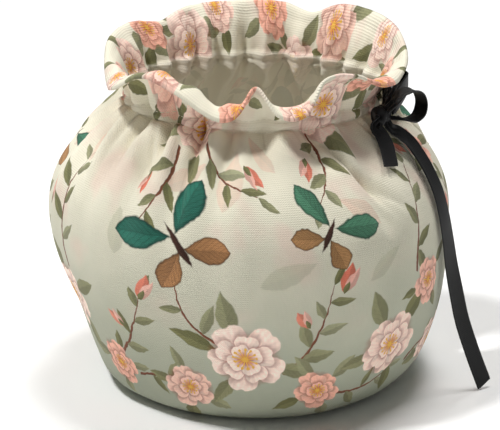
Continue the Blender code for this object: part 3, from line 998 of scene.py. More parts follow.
def flat_width():
    """The flat width of a panel in millimetres: half the way round the belly."""
    belly = max(WALL, key=lambda station: station.radius)
    return math.pi * belly.radius


def grid_normals(points):
    """Unit normals of a grid of points, on the side from which its columns run right and its rows up."""
    return unit(np.cross(np.gradient(points, axis=1), np.gradient(points, axis=0)))


def thick_sheet(name, points, thickness, flat):
    """A closed mesh of a sheet with rounded edges, from a grid of points on its middle surface. Every
    vertex keeps its place on the flat cloth in an attribute."""
    half = (grid_normals(points) * thickness[..., None] / 2).reshape(-1, 3)
    index = np.arange(points[..., 0].size).reshape(points.shape[:2])
    size = index.size
    quads = np.stack((index[:-1, :-1], index[:-1, 1:], index[1:, 1:], index[1:, :-1]), axis=-1).reshape(-1, 4)

    around = np.concatenate((index[0, :], index[1:, -1], index[-1, -2::-1], index[-2:0:-1, 0]))
    inward = np.concatenate((index[1, :], index[1:, -2], index[-2, -2::-1], index[-2:0:-1, 1]))
    points, flat = points.reshape(-1, 3), flat.reshape(-1, 3)
    outward = unit(points[around] - points[inward])
    edge = points[around] + outward * thickness.reshape(-1, 1)[around] / 2
    middle = 2 * size + np.arange(len(around))
    after = np.roll(middle, -1)
    around_after = np.roll(around, -1)
    outer_strip = np.stack((around_after, around, middle, after), axis=-1)
    inner_strip = np.stack((after, middle, around + size, around_after + size), axis=-1)
    faces = np.concatenate((quads, quads[:, ::-1] + size, outer_strip, inner_strip))
    vertices = np.concatenate((points + half, points - half, edge))
    mesh = bpy.data.meshes.new(name)
    mesh.from_pydata(vertices.tolist(), [], faces.tolist())
    mesh.shade_smooth()
    flat = np.concatenate((flat, flat, flat[around]))
    store(mesh, "cloth_mm", "FLOAT_VECTOR", "POINT", flat)
    side = np.concatenate((np.ones(size), np.zeros(size), np.full(len(around), 0.5)))
    store(mesh, "right_side", "FLOAT", "POINT", side)
    return mesh, faces, flat


def store(mesh, name, kind, domain, values):
    """Keeps values on a mesh as a named attribute."""
    made = mesh.attributes.new(name, kind, domain)
    key = {"FLOAT": "value", "FLOAT_VECTOR": "vector", "FLOAT_COLOR": "color"}[kind]
    made.data.foreach_set(key, np.ascontiguousarray(values, np.float32).ravel())


def new_piece(name, mesh, material):
    """Makes an object of a mesh, which rides with the cosy."""
    mesh.materials.append(material)
    piece = bpy.data.objects.new(name, mesh)
    bpy.context.scene.collection.objects.link(piece)
    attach(piece, BODY)
    return piece


def leaf_motif(kind, s, t, heading, length, width, colour, opacity=1.0, veins=0.5, edge=0.0):
    """A leaf, petal or wing that starts at a point of the cloth and runs along a heading."""
    half = length / 2
    centre = step(s, t, heading, half)
    return Motif(kind, *centre, heading, half, width, (width, veins, edge), colour, opacity)


def branch_motifs(branch, colours, rng):
    """A twig and the leaves that it bears, in pairs that get smaller towards its tip."""
    half = branch.length / 2
    centre = step(branch.s, branch.t, branch.heading, half)
    form = (branch.bend / half, TWIG_HALF_WIDTH / half, 0.0)
    yield Motif("twig", *centre, branch.heading, half, TWIG_ROOM, form, colours.twig, 1.0)
    for number in range(branch.leaves):
        share = FIRST_LEAF + (1 - FIRST_LEAF) * number / max(branch.leaves - 1, 1)
        place = share * 2 - 1
        spot = step(*centre, branch.heading, half * place)
        spot = step(*spot, branch.heading + 90, branch.bend * (1 - place * place))
        side = 1 if number % 2 else -1
        splay = 0 if number == branch.leaves - 1 else side * rng.uniform(*LEAF_SPLAY)
        length = branch.leaf * (FIRST_LEAF_SIZE - LEAF_SHRINKS * share) * rng.uniform(*LEAF_LENGTH)
        colour = blend(colours.leaf_olive, colours.leaf_sage, rng.random())
        yield leaf_motif("leaf", *spot, branch.heading + splay, length, rng.uniform(*LEAF_WIDTH), colour)


def bud_motifs(bud, colours):
    """A closed flower: two petals, and a calyx at its foot."""
    pink = blend(colours.petal_pink, colours.petal_coral, bud.tone)
    pale = blend(pink, colours.petal_pale, BUD_PALENESS)
    for part, colour in zip(BUD_PARTS, (pink, pale, colours.leaf_olive)):
        form = (bud.heading + part.turn, bud.length * part.length, part.width, colour)
        yield leaf_motif("wing", bud.s, bud.t, *form, veins=part.veins)


def butterfly_motifs(butterfly, colours):
    """Two pairs of wings, each fixed a little beside a slender body."""
    dark = blend(colours.wing_teal, colours.wing_green, butterfly.tone)
    rust = blend(blend(colours.petal_coral, colours.stamen, RUST_YELLOW), dark, RUST_DARK)
    centre, span, heading = (butterfly.s, butterfly.t), butterfly.span, butterfly.heading
    for wing, colour in zip(WINGS, (rust, dark)):
        for side in (1, -1):
            root = step(*step(*centre, heading, wing.ahead * span), heading + side * 90, WING_ROOT * span)
            form = (heading + side * wing.splay, span * wing.length, wing.width, colour)
            yield leaf_motif(wing.kind, *root, *form, veins=1.0, edge=1.0)
    tail = step(*centre, heading, TAIL_PLACE * span)
    body = opaque(colours.twig, BODY_BRIGHTNESS)
    yield leaf_motif("wing", *tail, heading, span * BODY_LENGTH, BODY_WIDTH, body, veins=0.0)


def print_motifs(colours):
    """All the motifs of the print, the lowest first."""
    rng = random.Random(colours.seed)
    for haze in HAZES:
        *form, colour = haze
        yield leaf_motif("haze", *form, getattr(colours, colour), HAZE_OPACITY, HAZE_VEINS)
    for branch in BRANCHES:
        yield from branch_motifs(branch, colours, rng)
    for bloom in BLOOMS:
        first = rng.uniform(0, 360)
        for number in range(LEAVES_ROUND_BLOOM):
            heading = first + number * 360 / LEAVES_ROUND_BLOOM + rng.uniform(*BLOOM_LEAF_TURN)
            root = step(bloom.s, bloom.t, heading, BLOOM_LEAF_ROOT * bloom.radius)
            colour = blend(colours.leaf_olive, colours.leaf_sage, rng.random() * BLOOM_LEAF_PALENESS)
            length = bloom.radius * rng.uniform(*BLOOM_LEAF_LENGTH)
            yield leaf_motif("leaf", *root, heading, length, rng.uniform(*BLOOM_LEAF_WIDTH), colour)
    for bloom in BLOOMS:
        tint = blend(colours.petal_pale, colours.petal_pink, bloom.tone)
        form = (bloom.squash, rng.random(), bloom.tone)
        yield Motif("bloom", bloom.s, bloom.t, bloom.turn, bloom.radius, bloom.squash, form, tint, 1.0)
    for bud in BUDS:
        yield from bud_motifs(bud, colours)
    for butterfly in BUTTERFLIES:
        yield from butterfly_motifs(butterfly, colours)


def store_print(mesh, faces, flat, motifs):
    """Tells each face of a panel which motifs lie on it, by layer: where its corners are in the motif's
    own frame, the motif's form, and its colour. A layer's shader then draws the motif. A motif that finds
    no free layer of its kind is left out."""
    corners = flat[faces][:, :, :2]
    centres = corners.mean(axis=1)
    count = len(faces)
    layers = {}
    for name in LAYERS:
        place = np.zeros((count, 4, 3), np.float32)
        place[:, :, :2] = NOWHERE
        layers[name] = (place, np.zeros((count, 3)), np.zeros((count, 4)), np.zeros(count, bool))
    for motif in motifs:
        right = np.array(step(0, 0, motif.heading, 1)) / motif.size
        up = np.array(step(0, 0, motif.heading + 90, 1)) / motif.size
        margin = MOTIF_MARGIN / motif.size
        aside = centres - (motif.s, motif.t)
        x, y = aside @ right, aside @ up
        inside = (np.abs(x) < 1 + margin) & (np.abs(y) < motif.width + margin)
        if motif.kind == "bloom":
            inside &= np.hypot(x / (1 + margin), y / (motif.width + margin)) < 1
        elif motif.kind != "twig":
            lean = LEAF_LEAN + motif.form[2] * (WING_LEAN - LEAF_LEAN)
            inside &= np.abs(y) < motif.width * np.clip((1 - x * x) * (1 - lean * x), 0, 1.2) + margin
        own = [layers[name] for name in LAYERS if name.startswith(motif.kind)]
        under = max((n + 1 for n, layer in enumerate(own) if layer[-1][inside].any()), default=0)
        if under == len(own):
            continue
        place, form, colour, taken = own[under]
        taken |= inside
        local = corners[inside] - (motif.s, motif.t)
        squash = motif.width if motif.kind == "bloom" else 1.0
        scale = np.full(local.shape[:2], 1 / motif.size)
        place[inside] = np.stack((local @ right, local @ up / squash, scale), axis=-1)
        form[inside] = motif.form
        colour[inside] = (*motif.colour[:3], motif.opacity)
    for name, (place, form, colour, _) in layers.items():
        store(mesh, name + "_place", "FLOAT_VECTOR", "CORNER", place)
        store(mesh, name + "_form", "FLOAT_VECTOR", "FACE", form)
        store(mesh, name + "_colour", "FLOAT_COLOR", "FACE", colour)


def read_layer(add, below, name, wobble):
    """A layer's own coordinates, form, colour and opacity, with the drawing hand's unsteadiness. A trace of
    the layer below, too faint to see, has the layers worked out one after another: all at once, they would
    take more room than a shader has."""
    wobble = add("VectorMath MULTIPLY_ADD", below, TRACE, wobble)
    place = add("Attribute", attribute_name=name + "_place", out="Vector")
    size = add("SeparateXYZ", place, out="Z")
    unsteady = add("VectorMath SCALE", wobble, None, None, size)
    moved = add("SeparateXYZ", add("VectorMath ADD", place, unsteady))
    form = add("SeparateXYZ", add("Attribute", attribute_name=name + "_form", out="Vector"))
    colour = add("Attribute", attribute_name=name + "_colour", out="Color")
    return moved.node.outputs, form.node.outputs, colour, colour.node.outputs["Alpha"]


def paint(add, below, colour, mask, shades=()):
    """Lays a colour, darkened or lit by shades, over the colour below where the mask is 1."""
    if shades:
        shade, *others = shades
        for other in others:
            shade = add("Math MULTIPLY", shade, other)
        colour = add("VectorMath SCALE", {0: colour, 3: shade})
    return add("Mix", {0: mask, 6: below, 7: colour}, out=2, data_type="RGBA")


def paint_leaf(add, below, name, wobble, mottle):
    """Draws a layer's leaves, petals or wings: pointed, with a midrib, side veins and one darker half."""
    (x, y, _), (width, veins, edge), colour, opacity = read_layer(add, below, name, wobble)
    taper = add("Math MULTIPLY_ADD", add("Math MULTIPLY", x, x), -1.0, 1.0, use_clamp=True)
    lean = add("MapRange", edge, 0.0, 1.0, -LEAF_LEAN, -WING_LEAN)
    lean = add("Math MULTIPLY_ADD", x, lean, 1.0)
    reach = add("Math MULTIPLY", add("Math MULTIPLY", taper, lean), width)
    aside = add("Math ABSOLUTE", y)
    inside = add("Math SUBTRACT", reach, aside)
    mask = add("Math MULTIPLY", add("MapRange", inside, 0.0, LEAF_OUTLINE, 0.0, 1.0), opacity)
    slant = add("Math MULTIPLY_ADD", aside, VEIN_SLANT, x)
    ribs = add("Math SINE", add("Math MULTIPLY", slant, VEIN_WAVES))
    ribs = add("Math GREATER_THAN", ribs, VEIN_ABOVE)
    midrib = add("Math LESS_THAN", aside, MIDRIB)
    lines = add("Math MULTIPLY", add("Math MAXIMUM", ribs, midrib), veins)
    lines = add("Math MULTIPLY_ADD", lines, VEIN_DARK, 1.0)
    rimmed = add("Math MULTIPLY", add("MapRange", inside, *WING_RIM), edge)
    rimmed = add("Math MULTIPLY_ADD", rimmed, RIM_DARK, 1.0)
    darker_half = add("MapRange", y, *DARKER_HALF)
    towards_tip = add("MapRange", x, *TOWARDS_TIP)
    return paint(add, below, colour, mask, (darker_half, towards_tip, lines, rimmed, mottle))


def paint_twig(add, below, name, wobble, mottle):
    """Draws a layer's twigs: bent lines that get thinner towards their tips."""
    (x, y, _), (bend, thick, _), colour, opacity = read_layer(add, below, name, wobble)
    bow = add("Math MULTIPLY_ADD", add("Math MULTIPLY", x, x), -1.0, 1.0)
    aside = add("Math SUBTRACT", y, add("Math MULTIPLY", bow, bend))
    reach = add("Math MULTIPLY", add("MapRange", x, *TWIG_TAPER), thick)
    inside = add("Math SUBTRACT", reach, add("Math ABSOLUTE", aside))
    mask = add("MapRange", inside, *TWIG_OUTLINE)
    mask = add("Math MULTIPLY", mask, add("Math GREATER_THAN", bow, 0.0))
    mask = add("Math MULTIPLY", mask, opacity)
    lit = add("MapRange", aside, *TWIG_LIT)
    return paint(add, below, colour, mask, (lit, mottle))


def paint_bloom(add, below, name, wobble, mottle, colours):
    """Draws a layer's open flowers: rings of overlapping petals, each paler at its rim, and stamens."""
    (x, y, _), (_, seed, tone), tint, opacity = read_layer(add, below, name, wobble)
    radius = add("VectorMath LENGTH", add("CombineXYZ", x, y, 0.0), out="Value")
    angle = add("Math ARCTAN2", y, x)
    turned = add("Math MULTIPLY", seed, BLOOM_TURN)
    for ring in RINGS:
        around = add("Math MULTIPLY_ADD", angle, ring.petals / (2 * math.pi), turned)
        around = add("Math ADD", around, ring.turn)
        number = add("Math FLOOR", add("Math FLOORED_MODULO", around, ring.petals))
        across = add("Math SUBTRACT", add("Math FRACT", around), 0.5)
        luck = add("TexWhiteNoise", {"Vector": add("CombineXYZ", number, seed, ring.reach)}, out="Value")
        far = add("Math MULTIPLY", add("Math ABSOLUTE", across), 2.0)
        drop = add("Math MULTIPLY_ADD", add("Math POWER", far, PETAL_PARTING_POWER), -ring.parting, 1.0)
        drop = add("Math SUBTRACT", drop, add("MapRange", far, *PETAL_NOTCH, **SMOOTH))
        reach = add("MapRange", luck, 0.0, 1.0, PETAL_SHORTEST * ring.reach, ring.reach)
        share = add("Math DIVIDE", radius, add("Math MULTIPLY", reach, drop))
        if ring.reach < 1:
            shadow = add("MapRange", share, *PETAL_SHADOW, **SMOOTH)
            shadow = add("Math MULTIPLY", shadow, opacity)
            below = paint(add, below, opaque(colours.petal_coral, SHADOW_BRIGHTNESS), shadow)
        root = add("MapRange", share, *PETAL_ROOT, **SMOOTH)
        root = add("Math MULTIPLY", root, add("Math MULTIPLY_ADD", tone, ROOT_DEPTH, ring.root))
        petal = paint(add, tint, colours.petal_coral, root)
        streak = add("Math SINE", add("Math MULTIPLY", across, STREAK_WAVES))
        streak = add("Math MULTIPLY_ADD", streak, STREAK_DEPTH, 1.0)
        tucked = add("MapRange", across, *PETAL_TUCKED, **SMOOTH)
        bright = add("MapRange", share, *PETAL_BRIGHT, **SMOOTH)
        mask = add("Math MULTIPLY", add("MapRange", share, *PETAL_OUTLINE), opacity)
        below = paint(add, below, petal, mask, (streak, tucked, bright, mottle))
    around = add("Math MULTIPLY_ADD", angle, STAMENS / (2 * math.pi), turned)
    across = add("Math SUBTRACT", add("Math FRACT", around), 0.5)
    aside = add("Math MULTIPLY", add("Math MULTIPLY", across, radius), 2 * math.pi / STAMENS)
    thread = add("Math LESS_THAN", add("Math ABSOLUTE", aside), STAMEN_WIDTH)
    thread = add("Math MULTIPLY", thread, add("Math LESS_THAN", radius, STAMEN_LENGTH))
    out = add("Math SUBTRACT", radius, STAMEN_LENGTH)
    head = add("VectorMath LENGTH", add("CombineXYZ", aside, out, 0.0), out="Value")
    head = add("Math LESS_THAN", head, STAMEN_HEAD)
    mask = add("Math MAXIMUM", add("Math MAXIMUM", thread, head), add("Math LESS_THAN", radius, EYE))
    return paint(add, below, colours.stamen, add("Math MULTIPLY", mask, opacity))


def palette(settings):
    """The print's colours, each with its alpha, and its seed."""
    names = [name for name in settings.__annotations__ if name != "seed"]
    return SimpleNamespace(seed=settings.seed, **{name: opaque(getattr(settings, name)) for name in names})


def cloth_material(cloth, colours, lengths):
    """Polyester canvas, plain woven and printed by transfer: matt, with a soft bloom of fibre ends at
    grazing angles, and a weave that shows as fine ribs: in relief, and as painted shade that darkens the
    print in the grooves between the yarns and lightens it on their crests. The weave is drawn about twice
    as coarse as it is, because a finer one would not show at this size."""
    material, add, shader = new_material("polyester canvas, woven and transfer printed")
    flat = add("Attribute", attribute_name="cloth_mm", out="Vector")
    s, t, _ = add("SeparateXYZ", flat).node.outputs
    hand = add("TexNoise", {"Vector": flat, "Scale": HAND_WAVES, "Detail": 3.0}, out="Color")
    wobble = add("VectorMath SUBTRACT", hand, (0.5, 0.5, 0.5))
    wobble = add("VectorMath SCALE", {0: wobble, 3: WOBBLE})
    grain = add("TexNoise", {"Vector": flat, "Scale": GRAIN_WAVES, "Detail": 5.0, "Roughness": 0.62})
    mottle = add("MapRange", grain, 0.3, 0.7, 0.90, 1.10)

    slow = add("TexNoise", {"Vector": flat, "Scale": DRIFT_WAVES, "Detail": 3.0})
    height = add("Math MULTIPLY_ADD", slow, GROUND_WAVER, t)
    height = add("MapRange", height, GROUND_FROM, GROUND_TO, 0.0, 1.0)
    painted = add("ValToRGB", height)
    stops = painted.node.color_ramp.elements
    while len(stops) < len(GROUND):
        stops.new(0.5)
    for stop, ground in zip(stops, GROUND):
        stop.position = ground.up / (GROUND_TO - GROUND_FROM)
        stop.color = opaque(blend(cloth.sage, cloth.cream, ground.cream))
    elsewhere = add("VectorMath ADD", flat, WASH_PLACE)
    wash = add("TexNoise", {"Vector": elsewhere, "Scale": WASH_WAVES})
    wash = add("MapRange", wash, *WASH, **SMOOTH)
    aloft = add("MapRange", t, *WASH_ALOFT)
    painted = paint(add, painted, opaque(cloth.blush), add("Math MULTIPLY", wash, aloft))
    for name in LAYERS:
        if name.startswith("twig"):
            painted = paint_twig(add, painted, name, wobble, mottle)
        elif name.startswith("bloom"):
            painted = paint_bloom(add, painted, name, wobble, mottle, colours)
        else:
            painted = paint_leaf(add, painted, name, wobble, mottle)

    right_side = add("Attribute", attribute_name="right_side", out="Fac")
    below_collar = add("MapRange", t, lengths.channel, lengths.channel + REVERSE_END, 1.0, 0.0)
    reverse = add("Math MULTIPLY", add("Math LESS_THAN", right_side, REVERSE_BELOW), below_collar)
    painted = paint(add, painted, opaque(cloth.reverse), add("Math MULTIPLY", reverse, REVERSE_OPACITY))

    waves = 2 * math.pi * MM / cloth.weave_pitch
    warp = add("Math SINE", add("Math MULTIPLY", s, waves))
    weft = add("Math SINE", add("Math MULTIPLY", t, waves))
    ribs = add("Math MULTIPLY_ADD", weft, WEFT_RIB, add("Math MULTIPLY", warp, weft))
    rim = lengths.whole - cloth.rim_hem / MM
    ribs = add("Math MULTIPLY", ribs, add("MapRange", t, rim, rim + 1.0, 1.0, RIM_RIBS))
    # Painted shade of the weave: the print is darkened in the grooves between the yarns and lightened on
    # their crests
    weave_shade = add("MapRange", ribs, -1.6, 1.6, 0.93, 1.05)
    wear = add("TexNoise", {"Vector": flat, "Scale": WEAR_WAVES, "Detail": 4.0, "Roughness": 0.55})
    creased = add("Bump", {"Strength": 0.35, "Distance": WEAR_RELIEF * MM, "Height": wear})
    woven = {"Strength": 0.5, "Distance": WEAVE_RELIEF * MM, "Height": ribs, "Normal": creased}
    woven = add("Bump", woven)
    connect(shader, {
        "Base Color": add("VectorMath SCALE", {0: painted, 3: weave_shade}),
        "Roughness": add("MapRange", grain, 0.3, 0.7, 0.80, 0.90),
        "Sheen Weight": 0.10,
        "Sheen Roughness": 0.5,
        "Specular IOR Level": 0.25,
        "Normal": woven,
    })
    return material


def cloth_lengths():
    """Distances up the cloth in millimetres: to the channel's two seams, and to the rim."""
    return Lengths(*[float(distance_up(row)) for row in (CHANNEL_LOW_ROW, CHANNEL_TOP_ROW, LAST_ROW)])


def ribbon_frames(points):
    """Centres, unit vectors along, across and out of the ribbon, and distances, along a smooth curve through
    a stretch's points."""
    table = np.array(points, float)
    along = walked(table[:, :3])
    at = np.linspace(0, along[-1], max(8, round(along[-1] / RIBBON_STEP)) + 1)
    x, y, z, facing, tilt = (hermite(along, column, at) for column in table.T)
    facing, tilt = np.radians(facing), np.radians(tilt)
    centres = np.stack((x, y, z), axis=-1)
    face = np.stack((np.cos(facing) * np.cos(tilt), np.sin(facing) * np.cos(tilt), np.sin(tilt)), axis=-1)
    tangents = unit(np.gradient(centres, axis=0))
    across = unit(np.cross(tangents, face))
    return centres, tangents, across, unit(np.cross(across, tangents)), at


def ribbon_mesh(name, points, settings, cut_end=False):
    """A stretch of ribbon, and its middle line: a thin woven strip, a little curled across, with beaded
    edges. A cut end is slightly slanted."""
    centres, tangents, across, normal, at = ribbon_frames(points)
    share = np.linspace(-1, 1, RIBBON_COLUMNS + 1)[None, :]
    at = at[:, None]
    half = settings.width / MM / 2
    from_knot = np.linalg.norm(centres - KNOT_PLACE, axis=1)[:, None]
    drawn = smoothstep((DRAWN_FROM - from_knot) / (DRAWN_FROM - DRAWN_TO))
    curl = RIBBON_CURL * (share**2 - 0.4) * np.sin(at / CURL_RUN + CURL_START)
    curl = curl + DRAWN_FOLD * drawn * np.sin(share * DRAWN_WAVES + DRAWN_START)
    reach = share * half * (1 - (1 - DRAWN_WIDTH) * drawn)
    ahead = cut_end * smoothstep(1 - (at[-1] - at) / CUT_REACH) * (share - 1) * half * CUT_SLANT
    grid = centres[:, None, :]
    for way, distance in ((across, reach), (normal, curl), (tangents, ahead)):
        grid = grid + way[:, None, :] * distance[..., None]
    aside = share * half + 0 * at
    flat = np.stack((aside, at + 0 * share, half - np.abs(aside)), axis=-1)
    bead = 1 + BEAD * smoothstep((np.abs(share) - BEAD_FROM) / BEAD_EDGE)
    thickness = settings.thickness * bead + 0 * at
    return thick_sheet(name, grid * MM, thickness, flat)[0], centres * MM


def knot_mesh(name):
    """The knot: the ribbon's middle, pleated and wrapped once round, as a closed tube of cloth."""
    turn = np.linspace(0, 2 * math.pi, KNOT_STEPS, endpoint=False)[:, None]
    share = np.linspace(-1, 1, KNOT_COLUMNS + 1)[None, :]
    pleat = sum(p.rise * np.sin(share * p.waves + p.sway * np.sin(turn + p.start)) for p in KNOT_PLEATS)
    belly = 1 - KNOT_BELLY * np.cos(share * math.pi)
    closing = KNOT_CLOSED + (1 - KNOT_CLOSED) * np.sqrt(np.clip(1 - np.abs(share) ** 6, 0.0, 1.0))
    out = (KNOT_HALF_DEPTH * belly + pleat) * closing * np.cos(turn)
    rise = (KNOT_HALF_HEIGHT * belly + pleat) * closing * np.sin(turn)
    aside = KNOT_HALF_WIDTH * share + KNOT_SWAY * np.sin(turn * 2 + 0.5)
    facing = math.radians(KNOT_FACING_DEG)
    x = out * math.cos(facing) - aside * math.sin(facing)
    y = out * math.sin(facing) + aside * math.cos(facing)
    points = np.stack((x, y, rise), axis=-1) + KNOT_PLACE
    across = KNOT_CLOTH_HALF_WIDTH * share + 0 * turn
    from_edge = KNOT_CLOTH_HALF_WIDTH - np.abs(across)
    flat = np.stack((across, turn * KNOT_CLOTH_ROUND + 0 * share, from_edge), axis=-1)
    index = np.arange(out.size).reshape(out.shape)
    after = np.roll(index, -1, axis=0)
    faces = np.stack((index[:, :-1], index[:, 1:], after[:, 1:], after[:, :-1]), axis=-1)
    faces = faces.reshape(-1, 4).tolist()
    faces += [index[::-1, 0].tolist(), index[:, -1].tolist()]
    mesh = bpy.data.meshes.new(name)
    mesh.from_pydata((points.reshape(-1, 3) * MM).tolist(), [], faces)
    mesh.shade_smooth()
    store(mesh, "cloth_mm", "FLOAT_VECTOR", "POINT", flat.reshape(-1, 3))
    return mesh


def ribbon_material(settings):
    """Grosgrain ribbon of filament polyester, woven with a thick weft and dyed black: crosswise ribs and
    plain edges, with a low silky shine along the ribs, and painted shade and highlight that make the colour
    darker in the ribs' grooves and lighter on their crests. The ribs are drawn a little coarser than they
    are."""
    material, add, shader = new_material("polyester grosgrain ribbon, woven and dyed")
    flat = add("Attribute", attribute_name="cloth_mm", out="Vector")
    _, t, from_edge = add("SeparateXYZ", flat).node.outputs
    ribs = add("Math SINE", add("Math MULTIPLY", t, 2 * math.pi * MM / settings.rib_pitch))
    ribs = add("Math MULTIPLY", ribs, add("MapRange", from_edge, *RIBBON_BODY))
    dust = add("TexNoise", {"Vector": flat, "Scale": DUST_WAVES, "Detail": 6.0, "Roughness": 0.7})
    tone = add("MapRange", dust, 0.35, 0.75, 0.85, 1.6)
    # Painted shade and highlight of the ribs: the colour is darker in their grooves and lighter on their
    # crests
    tone = add("Math MULTIPLY", tone, add("MapRange", ribs, -1.0, 1.0, 0.9, 1.1))
    connect(shader, {
        "Base Color": add("VectorMath SCALE", {0: tuple(settings.black), 3: tone}),
        "Roughness": add("MapRange", dust, 0.3, 0.8, 0.52, 0.66),
        "Sheen Weight": 0.12,
        "Sheen Roughness": 0.35,
        "Specular IOR Level": 0.35,
        "Normal": add("Bump", {"Strength": 0.3, "Distance": RIB_RELIEF * MM, "Height": ribs}),
    })
    return material


def thread_material(cloth):
    """Spun polyester sewing thread: matt, twisted, in the cloth's own cream."""
    material, add, shader = new_material("polyester sewing thread, spun and twisted")
    place = add("TexCoord", out="Object")
    fuzz = add("TexNoise", {"Vector": place, "Scale": FUZZ_WAVES / MM, "Detail": 2.0})
    tone = add("MapRange", fuzz, 0.3, 0.7, 0.88, 1.08)
    connect(shader, {
        "Base Color": add("VectorMath SCALE", {0: tuple(cloth.thread), 3: tone}),
        "Roughness": 0.7,
        "Sheen Weight": 0.1,
        "Normal": add("Bump", {"Strength": 0.4, "Distance": FUZZ_RELIEF * MM, "Height": fuzz}),
    })
    return material


def stitch_paths(lengths, cloth):
    """Lines of stitching as (from, to) pairs of places on the flat cloth, in millimetres."""
    half = flat_width() / 2
    for height in (lengths.whole - cloth.rim_hem / MM, lengths.channel, lengths.channel_low):
        yield (STITCH_INSET - half, height), (half - STITCH_INSET, height)
    for side in (-1, 1):
        across = side * (half - SIDE_STITCH_INSET)
        yield (across, SIDE_STITCH_FROM), (across, lengths.channel_low - SIDE_STITCH_SHORT_OF_CHANNEL)


def read_grid(grid, flat, s, t):
    """A grid's values at places on the flat cloth."""
    across, up = flat[0, :, 0], flat[:, 0, 1]
    column = np.interp(s, across, np.arange(len(across)))
    row = np.interp(t, up, np.arange(len(up)))
    c = np.clip(column.astype(int), 0, len(across) - 2)
    r = np.clip(row.astype(int), 0, len(up) - 2)
    right, above = (column - c)[:, None], (row - r)[:, None]
    low = grid[r, c] * (1 - right) + grid[r, c + 1] * right
    high = grid[r + 1, c] * (1 - right) + grid[r + 1, c + 1] * right
    return low * (1 - above) + high * above


def stitch_mesh(name, points, thickness, flat, paths):
    """Short capsules of thread along the paths, half sunk into the sheet's outer face."""
    normals = grid_normals(points)
    outer = points + normals * thickness[..., None] / 2
    turns = 2 * math.pi * np.arange(STITCH_SIDES) / STITCH_SIDES
    along, size, lift = np.array(STITCH_SECTIONS).T
    size = size * STITCH_THICKNESS / 2 * MM
    lift = lift * STITCH_THICKNESS * MM
    vertices, faces = [], []
    for start, end in paths:
        places = [np.linspace(a, b, STITCH_PLACES) for a, b in zip(start, end)]
        line = np.hstack((read_grid(outer, flat, *places), read_grid(normals, flat, *places)))
        way = walked(line[:, :3]) / MM
        for begin in np.arange(FIRST_STITCH, way[-1] - STITCH_LENGTH, STITCH_PITCH):
            at = begin + STITCH_LENGTH * along
            there = np.stack([np.interp(at, way, column) for column in line.T], axis=-1)
            spots, ups = there[:, :3], there[:, 3:]
            forward = unit(np.gradient(spots, axis=0))
            right = unit(np.cross(forward, ups))
            over = np.cross(right, forward)
            centres = spots + over * lift[:, None]
            first = len(vertices)
            for centre, radius, aside, above in zip(centres, size, right, over):
                vertices += [centre + radius * (aside * math.cos(t) + above * math.sin(t)) for t in turns]
            rings = first + np.arange(len(along) * STITCH_SIDES).reshape(-1, STITCH_SIDES)
            low, high = rings[:-1], rings[1:]
            sides = (low, high, np.roll(high, -1, axis=1), np.roll(low, -1, axis=1))
            faces += np.stack(sides, axis=-1).reshape(-1, 4).tolist()
            faces += [rings[0].tolist(), rings[-1, ::-1].tolist()]
    mesh = bpy.data.meshes.new(name)
    mesh.from_pydata(vertices, [], faces)
    mesh.shade_smooth()
    return mesh


def place_facing(context, name, data, place, back):
    """Places a camera or a light that looks against a direction."""
    made = bpy.data.objects.new(name, data)
    made.location = place
    made.rotation_euler = (-back).to_track_quat("-Z", "Y").to_euler()
    context.scene.collection.objects.link(made)
    return made


class TEACOSY_OT_stage(bpy.types.Operator):
    """Sets up the camera, a pale floor and soft light"""

    bl_idname = "tea_cosy.stage"
    bl_label = "Stage"

    def execute(self, context):
        settings = context.scene.tea_cosy_stage
        aim = Vector(AIM)
        back = Vector((0.0, -math.cos(settings.elevation), math.sin(settings.elevation)))
        camera = bpy.data.cameras.new("camera")
        camera.lens = settings.lens
        camera.sensor_width = SENSOR_WIDTH
        place = aim + back * settings.distance
        context.scene.camera = place_facing(context, "camera", camera, place, back)
        for lamp in LAMPS:
            light = bpy.data.lights.new(lamp.name, "AREA")
            light.size = lamp.size
            light.energy = lamp.power
            place_facing(context, lamp.name, light, lamp.place, Vector(lamp.place) - aim)

        bpy.ops.mesh.primitive_plane_add(size=FLOOR_SIZE)
        floor = context.object
        floor.name = "floor"
        material, _, shader = new_material("painted board, matt")
        connect(shader, {"Base Color": opaque(settings.floor), "Roughness": 0.9, "Specular IOR Level": 0.1})
        floor.data.materials.append(material)

        world = bpy.data.worlds.new("white room")
        world.use_nodes = True
        connect(world.node_tree.nodes["Background"], {"Color": (1.0, 1.0, 1.0, 1.0), "Strength": ROOM_LIGHT})
        context.scene.world = world
        context.scene.view_settings.view_transform = "Standard"
        return {"FINISHED"}


class TEACOSY_OT_ribbon(bpy.types.Operator):
    """Makes the knot, the bow's loops and tails, and the drawn ends of the ribbon"""

    bl_idname = "tea_cosy.ribbon"
    bl_label = "Ribbon"

    def execute(self, context):
        settings = context.scene.tea_cosy_ribbon
        black = ribbon_material(settings)
        pieces, lines = {}, {}
        for node, points in RIBBON.items():
            cut_end = node.startswith("ribbon_tail")
            mesh, lines[node] = ribbon_mesh(node + "_cloth", points, settings, cut_end)
            pieces[node] = new_piece(node + "_cloth", mesh, black)
            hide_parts(node)
        knot = new_piece("ribbon_knot_cloth", knot_mesh("ribbon_knot_cloth"), black)
        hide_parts("ribbon_knot")
        tail = pieces.pop("ribbon_tail_long")
        line = lines["ribbon_tail_long"]
        tuple(line[0])
        float(np.linalg.norm(np.diff(line, axis=0), axis=1).sum())
        return {"FINISHED"}


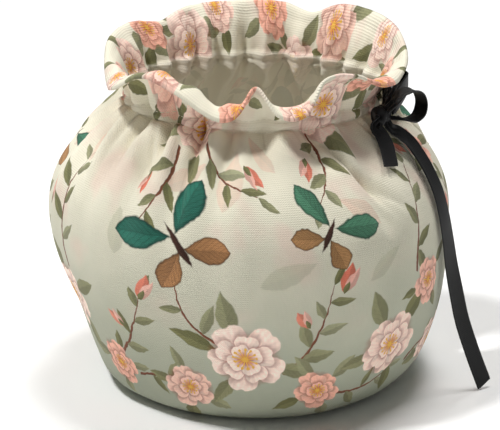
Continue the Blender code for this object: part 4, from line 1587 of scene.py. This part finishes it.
class TEACOSY_OT_panels(bpy.types.Operator):
    """Makes the two printed cloth panels and the stitches that hold their hems, channel and seams"""

    bl_idname = "tea_cosy.panels"
    bl_label = "Cloth panels"

    def execute(self, context):
        cloth = context.scene.tea_cosy_cloth
        colours = palette(context.scene.tea_cosy_print)
        lengths = cloth_lengths()
        printed = cloth_material(cloth, colours, lengths)
        thread = thread_material(cloth)
        motifs = list(print_motifs(colours))
        for node, front in (("front_panel", True), ("back_panel", False)):
            points, flat, thickness = panel_surface(front)
            mesh, faces, flat_all = thick_sheet(node + "_cloth", points, thickness, flat)
            store_print(mesh, faces, flat_all, motifs)
            piece = new_piece(node + "_cloth", mesh, printed)
            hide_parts(node)
            name = node + "_stitching"
            stitches = stitch_mesh(name, points, thickness, flat, stitch_paths(lengths, cloth))
            sewn = new_piece(name, stitches, thread)
        return {"FINISHED"}


class TEACOSY_PT_panel(bpy.types.Panel):
    """Lists what makes the cosy, with its settings"""

    bl_label = "Tea Cosy"
    bl_idname = "TEACOSY_PT_panel"
    bl_space_type = "VIEW_3D"
    bl_region_type = "UI"
    bl_category = "Tea Cosy"

    def draw(self, context):
        for operator, group in (
            (TEACOSY_OT_stage, "tea_cosy_stage"),
            (TEACOSY_OT_ribbon, "tea_cosy_ribbon"),
            (TEACOSY_OT_panels, "tea_cosy_cloth"),
            (None, "tea_cosy_print"),
        ):
            box = self.layout.box()
            if operator:
                box.operator(operator.bl_idname)
            settings = getattr(context.scene, group)
            for name in settings.__annotations__:
                box.prop(settings, name)


GROUPS = {
    "tea_cosy_cloth": TeaCosyCloth,
    "tea_cosy_print": TeaCosyPrint,
    "tea_cosy_ribbon": TeaCosyRibbon,
    "tea_cosy_stage": TeaCosyStage,
}
OPERATORS = (TEACOSY_OT_stage, TEACOSY_OT_ribbon, TEACOSY_OT_panels)
CLASSES = (*GROUPS.values(), *OPERATORS, TEACOSY_PT_panel)


def register():
    for cls in CLASSES:
        bpy.utils.register_class(cls)
    for name, group in GROUPS.items():
        setattr(bpy.types.Scene, name, bpy.props.PointerProperty(type=group))


def unregister():
    for name in GROUPS:
        delattr(bpy.types.Scene, name)
    for cls in reversed(CLASSES):
        bpy.utils.unregister_class(cls)


def main():
    register()
    bpy.ops.tea_cosy.stage()
    bpy.ops.tea_cosy.ribbon()
    bpy.ops.tea_cosy.panels()


if __name__ == "__main__":
    main()
